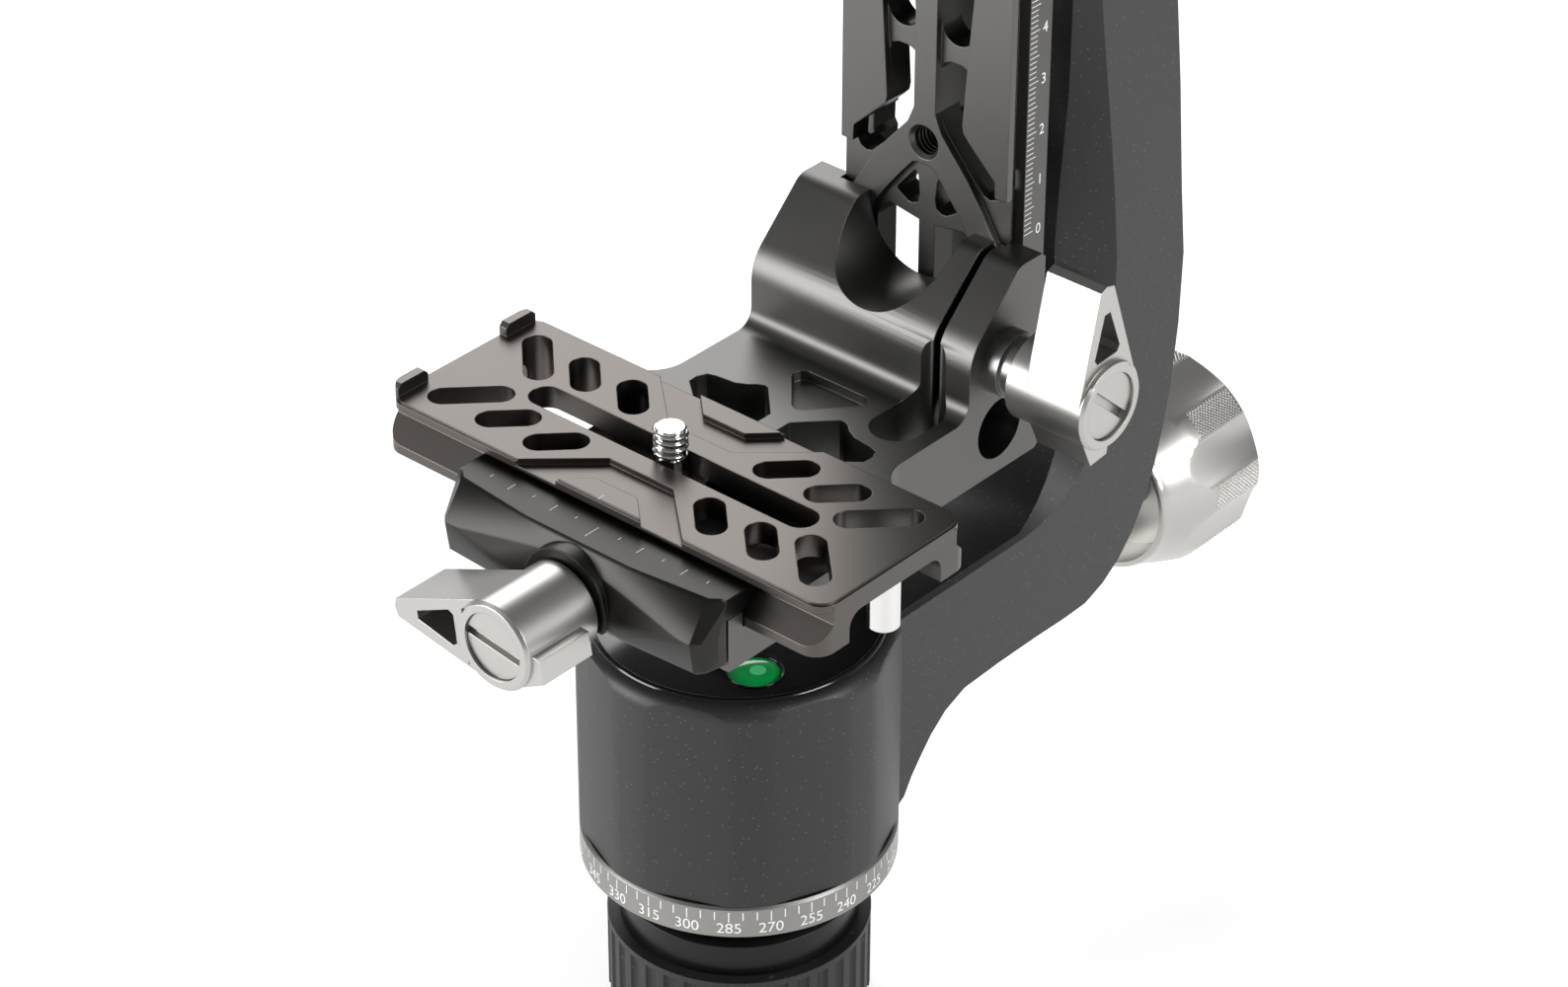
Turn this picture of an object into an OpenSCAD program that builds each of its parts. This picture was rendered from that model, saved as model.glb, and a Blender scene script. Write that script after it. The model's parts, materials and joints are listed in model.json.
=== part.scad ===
// Gimbal tripod head: turning base, cranked arm, swinging rail and quick-release lens carriage.
// Millimetres. Origin: centre of the tripod thread on the underside of the base, +Z up.
// +X runs along the camera plate, +Y from the hub towards the cranked arm.

/* [Base] */
// height of the base below the degree ring
base_h = 36; // [33:1:44]
// radius of the foot of the base
foot_r = 24; // [23:0.5:26]
// radius of the rubber grip ring
grip_r = 24.6; // [23.8:0.1:25.6]
// number of flutes around the grip ring
grip_flutes = 36; // [24:2:48]
// outer radius of the degree ring
scale_r = 29.4; // [28.6:0.1:31]
// depth of the tripod thread
thread_depth = 12; // [9:1:14]

/* [Hub and arm] */
// outer radius of the hub
hub_r = 29.4; // [28.8:0.1:31]
// half of the flat-to-flat size of the octagonal hub
hub_flat = 28.5; // [28:0.1:30.5]
// radius of the glossy cap on the hub
cap_r = 26.9; // [25.5:0.1:27.4]
// width of the cranked arm
arm_w = 44; // [40:1:50]
// height of the tilt axis above the degree ring
tilt_h = 190; // [184:1:205]
// outer radius of the tilt bearing housing
housing_r = 27; // [25:0.5:30]

/* [Swing rail] */
// width of the rail over its dovetail
rail_w = 38; // [37:0.1:39]
// depth of the rail from its front face to its back
rail_t = 11.8; // [10.8:0.1:11.9]
// depth of the raised front panels
panel_t = 1.4; // [1:0.1:1.4]
// length of the rail above the tilt axis
rail_top = 21; // [20:1:28]

/* [Lens bracket] */
// width of the upright part of the bracket
bracket_w = 51; // [50:0.5:56]
// length of the clamp along the plate
clamp_len = 62; // [58:1:68]
// height of the bracket above its photographed place on the rail
carriage_up = 0; // [0:1:40]
// radius of the saddle cut in the upright
saddle_r = 12; // [9:0.5:12.5]
// width of the slit that frees the flexing cheek
slit_w = 1.5; // [1:0.1:2]

/* [Camera plate] */
// length of the plate
plate_len = 101.5; // [98:0.5:120]
// width of the deck of the plate
deck_w = 37.2; // [36:0.1:38]
// length of the long slot
slot_len = 65.7; // [56:0.1:66]
// how far the plate has slid to the -X side
plate_back = 3.3; // [0:0.1:9]
// height of the camera screw above the deck
screw_up = 6; // [4.5:0.1:7]

/* [Levers and knobs] */
// radius of the round end of both levers
lever_r = 8.4; // [8:0.1:9]
// reach of the lever wing from its axis
lever_reach = 24.3; // [23:0.1:28]
// largest radius of the lock knobs
knob_r = 20.2; // [19:0.1:22]
// length of the lock knobs
knob_len = 27.3; // [25:0.1:30]
// number of finger flutes around a lock knob
knob_flutes = 8; // [6:1:10]

/* [Fits] */
// radial running clearance of shafts, studs and pins
run_gap = 0.05; // [0.03:0.01:0.08]

/* [Hidden] */
$fn = 64;
e = 0.01;
// heights are counted from the underside of the degree ring, then lifted by base_h
zr = base_h;
// base
neck_r = 21;
flange_r = 26;
flange_t = 6;
ring_t = 6.4;
thread_r = 3.97;
// pan bearings: 17 x 30 x 7 below, 15 x 28 x 7 above
pan_lo_z = 10.5;
pan_hi_z = 30;
brg_w = 7;
pan_lo_in = 8.5;
pan_lo_out = 15;
pan_hi_in = 7.5;
pan_hi_out = 14;
race_t = 2.1;
groove = 0.7;
spindle_flange_r = 19;
spindle_flange_t = 3;
spindle_screw_pcd = 15.5;
// hub
hub_z = 6.7;
hub_top = 49.9;
cap_t = 3.8;
cap_top = 50.3;
bubble_x = 13.8;
bubble_y = -11.2;
bubble_r = 4.8;
// pan brake
brake_z = 24.5;
brake_y = pan_lo_in + 0.1;
stud_r = 4;
boss_r = 10;
boss_end = 104;
knob_y = 106.3;
land_from = 11.2;
flute_r = 15;
flute_d = 1.4;
flute_turn = 19.5;
// tilt group
ta = zr + tilt_h;
rail_y = 49.7;
rail_back = rail_y + rail_t;
house_y = 65.6;
house_end = 100;
tilt_lo_y = 66;
tilt_hi_y = 83;
tilt_lo_in = 10;
tilt_lo_out = 16;
tilt_hi_in = 8.5;
tilt_hi_out = 15;
shaft_flange_r = 18;
rail_screw_pcd = 13;
cover_t = 4;
cover_screw_pcd = 20;
// rail
rail_hw = rail_w / 2;
lip_t = 1.5;
under = 3;
rail_low = 64;
web_hw = rail_hw - under;
back_y = 55.4;
tapped_r = 2.6;
tapped_z = 125.6;
hollow_hw = 15.6;
hollow_y = 56.4;
hollow_low = 74;
hollow_high = 168;
// bracket, heights counted like the rest
bw = bracket_w / 2;
cl = clamp_len / 2;
br_low = 71.5;
br_bed = 78.9;
br_top = 86.2;
br_high = 111.7;
wall_y = 32.5;
grip_y = 53;
slit_x = 17.25;
relief_r = 4.9;
lever_z = 94.4;
lever_y = 42;
lever_pin_r = 2.5;
collar_out = 6.9;
clamp_z = 75.3;
clamp_face = -44.5;
jaw_y = -38;
// plate
px = -plate_back;
py = -13.7;
deck_top = 88.9;
deck_t = 1.9;
plate_neck = 16;
plate_foot = 19.8;
plate_low = 79;
plate_lip = 1.8;
channel_hw = 12;
channel_top = 84.5;
cam_r = 3.1;
lug_t = 1.8;
lug_h = 2.4;
lug_in = 10;
lug_out = 17.5;
// levers
lever_len = 17;
lever_cap_r = 6.3;
wing_in = 4.2;
lever_lean = 93;

// ---------- shared shapes ----------

// cylinder along Y from y0 to y1 at height z
module ycyl(r, y0, y1, x = 0, z = 0, r2 = -1) {
    translate([x, y0, z])
        rotate([-90, 0, 0])
            cylinder(r1 = r, r2 = r2 < 0 ? r : r2, h = y1 - y0);
}

// cylinder along X from x0 to x1
module xcyl(r, x0, x1, y = 0, z = 0) {
    translate([x0, y, z])
        rotate([0, 90, 0])
            cylinder(r = r, h = x1 - x0);
}

// tube along Z from z0 to z1
module tube(ro, ri, z0, z1) {
    difference() {
        translate([0, 0, z0])
            cylinder(r = ro, h = z1 - z0);
        translate([0, 0, z0 - 1])
            cylinder(r = ri, h = z1 - z0 + 2);
    }
}

// tube along Y from y0 to y1
module ytube(ro, ri, y0, y1, x = 0, z = 0) {
    difference() {
        ycyl(ro, y0, y1, x, z);
        ycyl(ri, y0 - 1, y1 + 1, x, z);
    }
}

// ball track between the races of one bearing
module track(ri, ro, grow = 0) {
    rp = (ri + ro) / 2;
    translate([0, 0, brg_w / 2])
        rotate_extrude()
            translate([rp, 0])
                circle(r = (ro - ri) / 2 - race_t + groove + grow);
}

// inner race, lower face at z = 0
module race_in(ri, ro) {
    difference() {
        tube(ri + race_t, ri, 0, brg_w);
        track(ri, ro);
    }
}

// outer race, lower face at z = 0
module race_out(ri, ro) {
    difference() {
        tube(ro, ro - race_t, 0, brg_w);
        track(ri, ro);
    }
}

// balls of one bearing
module balls(ri, ro, n) {
    rp = (ri + ro) / 2;
    rb = (ro - ri) / 2 - race_t + groove - 0.02;
    for (i = [0 : n - 1])
        rotate([0, 0, i * 360 / n])
            translate([rp, 0, brg_w / 2])
                sphere(r = rb);
}

// stands a bearing part along Y with its front face at y
module along_y(y, z) {
    translate([0, y, z])
        rotate([-90, 0, 0])
            children();
}

// hexagon nut standing on z0
module nut(af, ri, z0, h) {
    difference() {
        intersection() {
            translate([0, 0, z0])
                cylinder(r = af / 2 / cos(30), h = h, $fn = 6);
            translate([0, 0, z0 - af * 0.74 + h])
                cylinder(r1 = af * 1.4, r2 = af * 0.53, h = af * 0.75);
        }
        translate([0, 0, z0 - 1])
            cylinder(r = ri, h = h + 2);
    }
}

// rounded bar outline between two points
module pill(x0, y0, x1, y1, r) {
    a = atan2(y1 - y0, x1 - x0);
    d = norm([x1 - x0, y1 - y0]);
    translate([x0, y0]) {
        circle(r = r);
        rotate([0, 0, a])
            translate([0, -r])
                square([d, 2 * r]);
        rotate([0, 0, a])
            translate([d, 0])
                circle(r = r);
    }
}

// extrudes an outline drawn in (x, z) along Y, from y0 to y1
module prism_y(y0, y1) {
    translate([0, y1, 0])
        rotate([90, 0, 0])
            linear_extrude(height = y1 - y0)
                children();
}

// extrudes an outline drawn in (y, z) along X, from x0 to x1
module prism_x(x0, x1) {
    translate([x0, 0, 0])
        rotate([90, 0, 90])
            linear_extrude(height = x1 - x0)
                children();
}

// socket head of a screw lying along Y, its top at y and facing -Y
module cap_head_y(r, h, y, x, z) {
    difference() {
        ycyl(r, y, y + h, x, z);
        translate([x, y - e, z])
            rotate([-90, 0, 0])
                cylinder(r = r * 0.52, h = h * 0.55, $fn = 6);
    }
}

// ---------- base ----------

module base_body() {
    color([0.08, 0.08, 0.085])
    difference() {
        rotate_extrude()
            polygon([[0, 0], [foot_r - 0.6, 0], [foot_r, 0.6], [foot_r, 3.4], [foot_r - 0.6, 4],
                [neck_r, 4], [neck_r, zr - 14.6], [22.3, zr - 14.6], [22.3, zr - 8.1],
                [20.8, zr - 7.1], [20, zr - 7.1], [20, zr], [flange_r, zr],
                [flange_r, zr + flange_t], [0, zr + flange_t]]);
        translate([0, 0, -1])
            cylinder(r = thread_r, h = thread_depth + 1);
        translate([0, 0, zr + 1])
            cylinder(r = 6, h = flange_t);
        for (a = [45 : 90 : 315])
            rotate([0, 0, a])
                translate([spindle_screw_pcd, 0, zr - 4])
                    cylinder(r = 1.5, h = 11);
    }
}

module grip_ring() {
    color([0.05, 0.05, 0.05])
    difference() {
        tube(grip_r, neck_r, 4, zr - 14.6);
        for (i = [0 : grip_flutes - 1])
            rotate([0, 0, i * 360 / grip_flutes])
                translate([grip_r + 0.55, 0, 3])
                    cylinder(r = 1.35, h = zr - 18.8, $fn = 24);
    }
}

module degree_ring() {
    color([0.75, 0.75, 0.76])
    translate([0, 0, zr])
        rotate_extrude()
            polygon([[flange_r, 0], [scale_r, 0], [scale_r, ring_t - 0.5],
                [scale_r - 0.5, ring_t], [flange_r, ring_t]]);
}

module pan_spindle() {
    color([0.6, 0.6, 0.62])
    translate([0, 0, zr])
    difference() {
        rotate_extrude()
            polygon([[0, 1], [6, 1], [6, flange_t], [spindle_flange_r, flange_t],
                [spindle_flange_r, flange_t + spindle_flange_t], [10.3, flange_t + spindle_flange_t],
                [10.3, pan_lo_z], [pan_lo_in, pan_lo_z], [pan_lo_in, pan_hi_z],
                [pan_hi_in, pan_hi_z], [pan_hi_in, pan_hi_z + brg_w - 0.2],
                [5, pan_hi_z + brg_w - 0.2], [5, 45], [4.2, 45.8], [0, 45.8]]);
        for (a = [45 : 90 : 315])
            rotate([0, 0, a])
                translate([spindle_screw_pcd, 0, flange_t]) {
                    translate([0, 0, -1])
                        cylinder(r = 1.5, h = 5);
                    translate([0, 0, spindle_flange_t - 1.5])
                        cylinder(r1 = 1.5, r2 = 3, h = 1.5);
                }
    }
}

module spindle_screws() {
    color([0.55, 0.55, 0.57])
    for (a = [45 : 90 : 315])
        rotate([0, 0, a])
            translate([spindle_screw_pcd, 0, zr + flange_t])
                difference() {
                    union() {
                        translate([0, 0, -9])
                            cylinder(r = 1.5, h = 10.5 + e);
                        translate([0, 0, spindle_flange_t - 1.5])
                            cylinder(r1 = 1.5, r2 = 2.95, h = 1.45);
                    }
                    translate([0, 0, spindle_flange_t - 1.2])
                        cylinder(r = 1.15, h = 2, $fn = 6);
                }
}

module pan_inner_races() {
    color([0.7, 0.7, 0.72]) {
        translate([0, 0, zr + pan_lo_z])
            race_in(pan_lo_in, pan_lo_out);
        translate([0, 0, zr + pan_hi_z])
            race_in(pan_hi_in, pan_hi_out);
    }
}

module pan_balls() {
    color([0.8, 0.8, 0.82]) {
        translate([0, 0, zr + pan_lo_z])
            balls(pan_lo_in, pan_lo_out, 13);
        translate([0, 0, zr + pan_hi_z])
            balls(pan_hi_in, pan_hi_out, 12);
    }
}

module spindle_washer() {
    color([0.7, 0.7, 0.72])
        tube(9.5, 5.1, zr + pan_hi_z + brg_w, zr + pan_hi_z + brg_w + 1.5);
}

module spindle_nut() {
    color([0.6, 0.6, 0.62])
        nut(16, 5, zr + pan_hi_z + brg_w + 1.5, 6);
}

// ---------- arm ----------

// the top of the crank follows the tilt axis
up = tilt_h - 190;
// outer edge of the bend, from under the arm round to its back, in (y, z)
bend_out = [[60, 24.4], [67.5, 24.2], [74.2, 24.4], [79.6, 26.4], [84.2, 29.6], [88, 33.8],
    [91.2, 39], [94, 45.6], [96.2, 53.4], [98, 62]];
// cross-sections of the crank: inner edge, outer edge and their chamfers
crank = concat(
    [[[8, 49], [8, 7.7], 0.9, 0.9], [[19.6, 49], [19.6, 7.7], 0.9, 0.9],
     [[21, 49], [21, 8.6], 0.9, 1.8], [[23, 49], [23, 12], 0.9, 4],
     [[25.5, 49], [25.5, 15.2], 0.9, 5.6], [[28.5, 49], [28.5, 18.6], 0.9, 7.2],
     [[32.5, 49], [32.5, 21.8], 0.9, 8.8], [[38, 49], [38, 24], 0.9, 10],
     [[48, 49], [48, 24.4], 0.9, 10]],
    [for (i = [0 : 9])
        [[54 + 25 * sin(i * 10), 74 - 25 * cos(i * 10)], bend_out[i],
         0.9 + 7.6 * i / 9, 10 - 6.5 * i / 9]],
    [[[79, 88], [99.4, 75], 8.6, 3.5], [[79, 98], [99.8, 90], 8.4, 3.5],
     [[77.4, 112], [98, 105], 7.3, 3.5], [[74.4, 132], [95.8, 127], 5.2, 3.3],
     [[71.6, 149], [93.4, 146], 3.9, 3], [[69.4, 166 + up], [93, 166 + up], 3, 3],
     [[68.6, 180 + up], [94, 180 + up], 3, 3], [[68.6, tilt_h], [94, tilt_h], 3, 3]]);

// the eight corners of one cross-section
function ring8(s) =
    let(a = s[0], b = s[1], d = (b - a) / norm(b - a), hw = arm_w / 2,
        p = a - d * s[2], q = b + d * s[3])
    [[hw - s[2], p[0], p[1]], [hw, a[0], a[1]], [hw, b[0], b[1]], [hw - s[3], q[0], q[1]],
     [s[3] - hw, q[0], q[1]], [-hw, b[0], b[1]], [-hw, a[0], a[1]], [s[2] - hw, p[0], p[1]]];

module crank_body() {
    n = len(crank);
    pts = [for (s = crank) for (p = ring8(s)) p];
    sides = [for (i = [0 : n - 2]) for (k = [0 : 7])
        [i * 8 + k, i * 8 + (k + 1) % 8, (i + 1) * 8 + (k + 1) % 8, (i + 1) * 8 + k]];
    tri = [for (f = sides) for (t = [[f[2], f[1], f[0]], [f[3], f[2], f[0]]]) t];
    first = [[for (k = [0 : 7]) k]];
    last = [[for (k = [7 : -1 : 0]) (n - 1) * 8 + k]];
    polyhedron(points = pts, faces = concat(tri, first, last));
}

module main_arm() {
    color([0.1, 0.1, 0.105])
    difference() {
        union() {
            translate([0, 0, zr])
                crank_body();
            translate([0, 0, zr])
                intersection() {
                    rotate_extrude() {
                        translate([0, hub_z])
                            square([hub_r, hub_top - hub_z - 3.5]);
                        translate([0, hub_z])
                            square([hub_r - 3.5, hub_top - hub_z]);
                        translate([hub_r - 3.5, hub_top - 3.5])
                            circle(r = 3.5);
                    }
                    translate([0, 0, hub_z])
                        cylinder(r = hub_flat / cos(22.5), h = 60, $fn = 8);
                }
            ycyl(boss_r, 84, boss_end, 0, zr + brake_z);
            ycyl(housing_r, house_y, house_end, 0, ta);
        }
        // room for the spindle and seats of the pan bearings
        translate([0, 0, zr + hub_z - 1])
            cylinder(r = spindle_flange_r + 0.4, h = 4);
        translate([0, 0, zr + hub_z])
            cylinder(r = pan_lo_out, h = pan_lo_z + brg_w - hub_z);
        translate([0, 0, zr + hub_z])
            cylinder(r = 12.6, h = 40);
        translate([0, 0, zr + pan_hi_z])
            cylinder(r = pan_hi_out, h = 30);
        translate([0, 0, zr + cap_top - cap_t])
            cylinder(r = cap_r, h = 10);
        // tunnel of the pan lock stud and its shoe
        ycyl(stud_r + run_gap, 5, boss_end + 1, 0, zr + brake_z);
        ycyl(5.5 + run_gap, 5, 17, 0, zr + brake_z);
        // seats of the tilt bearings
        ycyl(tilt_lo_out, house_y - 5, tilt_lo_y + brg_w, 0, ta);
        ycyl(13.6, house_y, house_end, 0, ta);
        ycyl(tilt_hi_out, tilt_hi_y, house_end + 1, 0, ta);
        for (a = [45 : 90 : 315])
            ycyl(1.5, house_end - 8, house_end + 1,
                cover_screw_pcd * cos(a), ta + cover_screw_pcd * sin(a));
    }
}

module pan_outer_races() {
    color([0.7, 0.7, 0.72]) {
        translate([0, 0, zr + pan_lo_z])
            race_out(pan_lo_in, pan_lo_out);
        translate([0, 0, zr + pan_hi_z])
            race_out(pan_hi_in, pan_hi_out);
    }
}

module glide_ring() {
    color([0.85, 0.84, 0.8])
        tube(25.5, 20, zr + flange_t + run_gap, zr + hub_z);
}

module hub_cap() {
    color([0.03, 0.03, 0.03])
    difference() {
        translate([0, 0, zr])
            rotate_extrude()
                polygon([[0, cap_top - cap_t], [cap_r, cap_top - cap_t], [cap_r, cap_top - 0.4],
                    [cap_r - 0.4, cap_top], [cap_r - 0.9, cap_top], [cap_r - 0.9, cap_top - 0.25],
                    [0, cap_top - 0.25]]);
        translate([bubble_x, bubble_y, zr + cap_top - 3])
            cylinder(r = bubble_r + 0.5, h = 5);
    }
}

module bubble_rim() {
    color([0.03, 0.03, 0.03])
    translate([bubble_x, bubble_y, 0])
        difference() {
            tube(bubble_r + 0.5, bubble_r, zr + cap_top - 3, zr + cap_top);
            translate([0, 0, zr + cap_top - 0.4])
                cylinder(r1 = bubble_r, r2 = bubble_r + 0.4, h = 0.41);
        }
}

module bubble_vial() {
    color([0.1, 0.75, 0.3])
    translate([bubble_x, bubble_y, zr + cap_top])
        intersection() {
            translate([0, 0, -3])
                cylinder(r = bubble_r, h = 3);
            translate([0, 0, -20.1])
                sphere(r = 20);
        }
}

module tilt_outer_races() {
    color([0.7, 0.7, 0.72]) {
        along_y(tilt_lo_y, ta)
            race_out(tilt_lo_in, tilt_lo_out);
        along_y(tilt_hi_y, ta)
            race_out(tilt_hi_in, tilt_hi_out);
    }
}

module tilt_cover() {
    color([0.1, 0.1, 0.105])
    difference() {
        union() {
            ycyl(24.4, house_end, house_end + cover_t - 0.6, 0, ta);
            ycyl(24.4, house_end + cover_t - 0.6, house_end + cover_t, 0, ta, 23.8);
            ycyl(boss_r, house_end + cover_t - e, house_end + cover_t + 1.5, 0, ta);
        }
        ycyl(stud_r + run_gap, house_end - 1, house_end + 10, 0, ta);
        for (a = [45 : 90 : 315])
            translate([cover_screw_pcd * cos(a), 0, ta + cover_screw_pcd * sin(a)]) {
                ycyl(1.5, house_end - 1, house_end + cover_t + 1);
                ycyl(2.9, house_end + cover_t - 2, house_end + cover_t + 1);
            }
    }
}

module cover_screws() {
    color([0.55, 0.55, 0.57])
    for (a = [45 : 90 : 315])
        translate([cover_screw_pcd * cos(a), 0, ta + cover_screw_pcd * sin(a)])
            difference() {
                union() {
                    ycyl(1.5, house_end - 7, house_end + cover_t - 2 + e);
                    ycyl(2.75, house_end + cover_t - 2, house_end + cover_t);
                }
                translate([0, house_end + cover_t - 1.2, 0])
                    rotate([-90, 0, 0])
                        cylinder(r = 1.4, h = 3, $fn = 6);
            }
}

// ---------- lock knobs ----------

// knob body along Y, rim at knob_y: a cone, then a fluted cylinder
module knob(z) {
    rim = knob_r - 3.8;
    difference() {
        translate([0, knob_y, z])
            rotate([-90, 0, 0])
                rotate_extrude()
                    polygon([[0, 0], [rim - 0.4, 0], [rim, 0.4], [rim + 0.3, 2.2],
                        [knob_r, land_from], [knob_r, knob_len - 1.3],
                        [knob_r - 1.4, knob_len], [0, knob_len]]);
        // hollow rim, bore for the stud and seat of the end cap
        ytube(rim - 1.2, 6.5, knob_y - 1, knob_y + 9, 0, z);
        ycyl(stud_r, knob_y - 1, knob_y + knob_len - 6, 0, z);
        ycyl(11, knob_y + knob_len - 2, knob_y + knob_len + 1, 0, z);
        for (i = [0 : knob_flutes - 1])
            translate([0, knob_y + 1, z])
                rotate([0, flute_turn + i * 360 / knob_flutes, 0])
                    translate([0, 0, knob_r + flute_r - flute_d])
                        rotate([-90, 0, 0])
                            cylinder(r = flute_r, h = knob_len);
    }
}

module knob_stud(y0, z) {
    difference() {
        ycyl(stud_r, y0, knob_y + knob_len - 6, 0, z);
        ycyl(stud_r + 1, y0 - 1, y0 + e, 0, z);
    }
}

module knob_cap(z) {
    difference() {
        ycyl(11, knob_y + knob_len - 2, knob_y + knob_len - 0.2, 0, z);
        ytube(8.6, 8, knob_y + knob_len - 0.5, knob_y + knob_len + 1, 0, z);
    }
}

module pan_brake_shoe() {
    color([0.75, 0.55, 0.25])
    difference() {
        ycyl(5.5, brake_y - 2, 14.5, 0, zr + brake_z);
        translate([0, 0, zr])
            cylinder(r = brake_y, h = 50);
    }
}

module pan_knob() {
    color([0.78, 0.78, 0.79])
        knob(zr + brake_z);
}

module pan_knob_stud() {
    color([0.6, 0.6, 0.62])
        knob_stud(14.5, zr + brake_z);
}

module pan_knob_cap() {
    color([0.1, 0.1, 0.1])
        knob_cap(zr + brake_z);
}

module tilt_brake_disc() {
    color([0.75, 0.55, 0.25])
        ycyl(12, 96.1, 98.6, 0, ta);
}

module tilt_knob() {
    color([0.78, 0.78, 0.79])
        knob(ta);
}

module tilt_knob_stud() {
    color([0.6, 0.6, 0.62])
        knob_stud(98.6, ta);
}

module tilt_knob_cap() {
    color([0.1, 0.1, 0.1])
        knob_cap(ta);
}

// ---------- swing rail ----------

// right half of the pocket between the middle rib and a side panel, in (x, z)
module pocket_half() {
    polygon([[2.4, 160], [10.8, 160], [9.9, 150], [8.6, 132], [8.9, 130.5], [10.3, 129],
        [16.2, 123.4], [16.3, 120.3], [15.5, 119], [14.2, 118.5], [12.9, 118.2], [12.2, 118.2],
        [10, 121.4], [6.1, 125.9], [3.8, 128.6], [2.4, 132]]);
    // the front layer is missing beside the leg down to the edge
    polygon([[14, 120.3], [30, 120.3], [30, 107], [18.6, 107.8], [16.1, 111.8], [12.2, 118.2],
        [12.9, 118.3]]);
    // and under the arch between the legs
    polygon([[-e, 121.4], [1.4, 121.3], [2.5, 120.9], [5.2, 117.7], [8.4, 113.6], [11.3, 109.5],
        [12.3, 107], [12.3, 84], [-e, 84]]);
}

// right half of the through windows, in (x, z)
module window_half() {
    polygon([[2.4, 140.6], [3.2, 142], [4.8, 142.7], [7.2, 142.7], [8.8, 142], [9.2, 140.6], [8.6, 132],
        [8.9, 130.5], [10.3, 129], [16.2, 123.4], [16.3, 120.3], [15.5, 119], [14.2, 118.5],
        [12.9, 118.9], [10, 121.8], [6.1, 126.3], [3.8, 129], [2.4, 132]]);
    // the next window ends in a half round
    polygon([[2.4, 150], [9.9, 150], [10.4, 158], [8.4, 160], [4.4, 160], [2.4, 158]]);
    translate([6.15, 150])
        circle(r = 3.75);
    polygon([[2.9, 118.6], [2.2, 117.9], [1.75, 114], [2.1, 112.3], [3.5, 111.6], [4.4, 111.7],
        [6.9, 113.2], [6.8, 113.9]]);
    polygon([[1.8, 108.8], [8.5, 109.9], [10.6, 108.4], [11.4, 106.4], [11.4, 87], [10.4, 86],
        [2.8, 86], [1.8, 87]]);
}

module swing_rail() {
    color([0.2, 0.2, 0.21])
    translate([0, 0, zr])
    difference() {
        intersection() {
            translate([0, 0, rail_low])
                linear_extrude(height = tilt_h + rail_top - rail_low)
                    polygon([[-rail_hw, rail_y], [rail_hw, rail_y], [rail_hw, rail_y + lip_t],
                        [web_hw, rail_y + lip_t + under], [web_hw, back_y],
                        [rail_hw - 0.5, back_y], [rail_hw - 0.5, rail_back],
                        [0.5 - rail_hw, rail_back], [0.5 - rail_hw, back_y], [-web_hw, back_y],
                        [-web_hw, rail_y + lip_t + under], [-rail_hw, rail_y + lip_t]]);
            prism_y(rail_y - 1, rail_back + 1)
                union() {
                    translate([-25, rail_low + 3])
                        square([50, tilt_h + rail_top - rail_low - 15]);
                    translate([3 - rail_hw, rail_low])
                        square([2 * rail_hw - 6, 20]);
                    translate([3 - rail_hw, rail_low + 3])
                        circle(r = 3);
                    translate([rail_hw - 3, rail_low + 3])
                        circle(r = 3);
                    translate([12 - rail_hw, tilt_h + rail_top - 12])
                        circle(r = 12);
                    translate([rail_hw - 12, tilt_h + rail_top - 12])
                        circle(r = 12);
                    translate([12 - rail_hw, tilt_h])
                        square([2 * rail_hw - 24, rail_top]);
                }
        }
        for (m = [0, 1])
            mirror([m, 0, 0]) {
                prism_y(rail_y - 1, rail_y + panel_t)
                    pocket_half();
                prism_y(rail_y - 1, rail_back + 1)
                    window_half();
            }
        // hollow back, with a spine and a boss round the tapped hole left standing
        difference() {
            translate([-hollow_hw, hollow_y, hollow_low])
                cube([2 * hollow_hw, 10, hollow_high - hollow_low]);
            translate([-2.4, hollow_y - 1, tapped_z])
                cube([4.8, 12, 60]);
            ycyl(5.6, hollow_y - 1, rail_back + 1, 0, tapped_z);
        }
        // tapped accessory hole with its countersink
        ycyl(tapped_r, rail_y - 1, rail_back + 1, 0, tapped_z);
        ycyl(3.4, rail_y - e, rail_y + 0.8, 0, tapped_z, tapped_r);
        // pivot bore, screw seats and stop screw holes
        ycyl(7, rail_y - 1, rail_y + 2.5, 0, tilt_h);
        ycyl(5, rail_y - 1, rail_back + 1, 0, tilt_h);
        for (a = [45 : 90 : 315])
            translate([rail_screw_pcd * cos(a), 0, tilt_h + rail_screw_pcd * sin(a)]) {
                ycyl(2, rail_y, rail_back + 1);
                ycyl(3.6, rail_y - 1, rail_y + 4.2);
            }
        for (x = [-9, 9])
            ycyl(1.5, rail_y - 1, rail_y + 9, x, rail_low + 4.2);
    }
}

module tilt_shaft() {
    color([0.6, 0.6, 0.62])
    difference() {
        translate([0, 0, ta])
            rotate([-90, 0, 0])
                rotate_extrude()
                    polygon([[0, rail_back], [shaft_flange_r, rail_back], [shaft_flange_r, 64.7],
                        [12, 64.7], [12, tilt_lo_y], [tilt_lo_in, tilt_lo_y], [tilt_lo_in, tilt_hi_y],
                        [tilt_hi_in, tilt_hi_y], [tilt_hi_in, tilt_hi_y + brg_w - 0.2],
                        [6, tilt_hi_y + brg_w - 0.2], [6, 95.4], [5.4, 96], [0, 96]]);
        for (a = [45 : 90 : 315])
            ycyl(2, rail_back - 1, 65.5, rail_screw_pcd * cos(a), ta + rail_screw_pcd * sin(a));
    }
}

module rail_screws() {
    color([0.5, 0.5, 0.52])
    for (a = [45 : 90 : 315])
        translate([rail_screw_pcd * cos(a), 0, ta + rail_screw_pcd * sin(a)]) {
            cap_head_y(3.5, 3.7, rail_y + 0.5, 0, 0);
            ycyl(2, rail_y + 4.2 - e, 64.6);
        }
}

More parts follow.
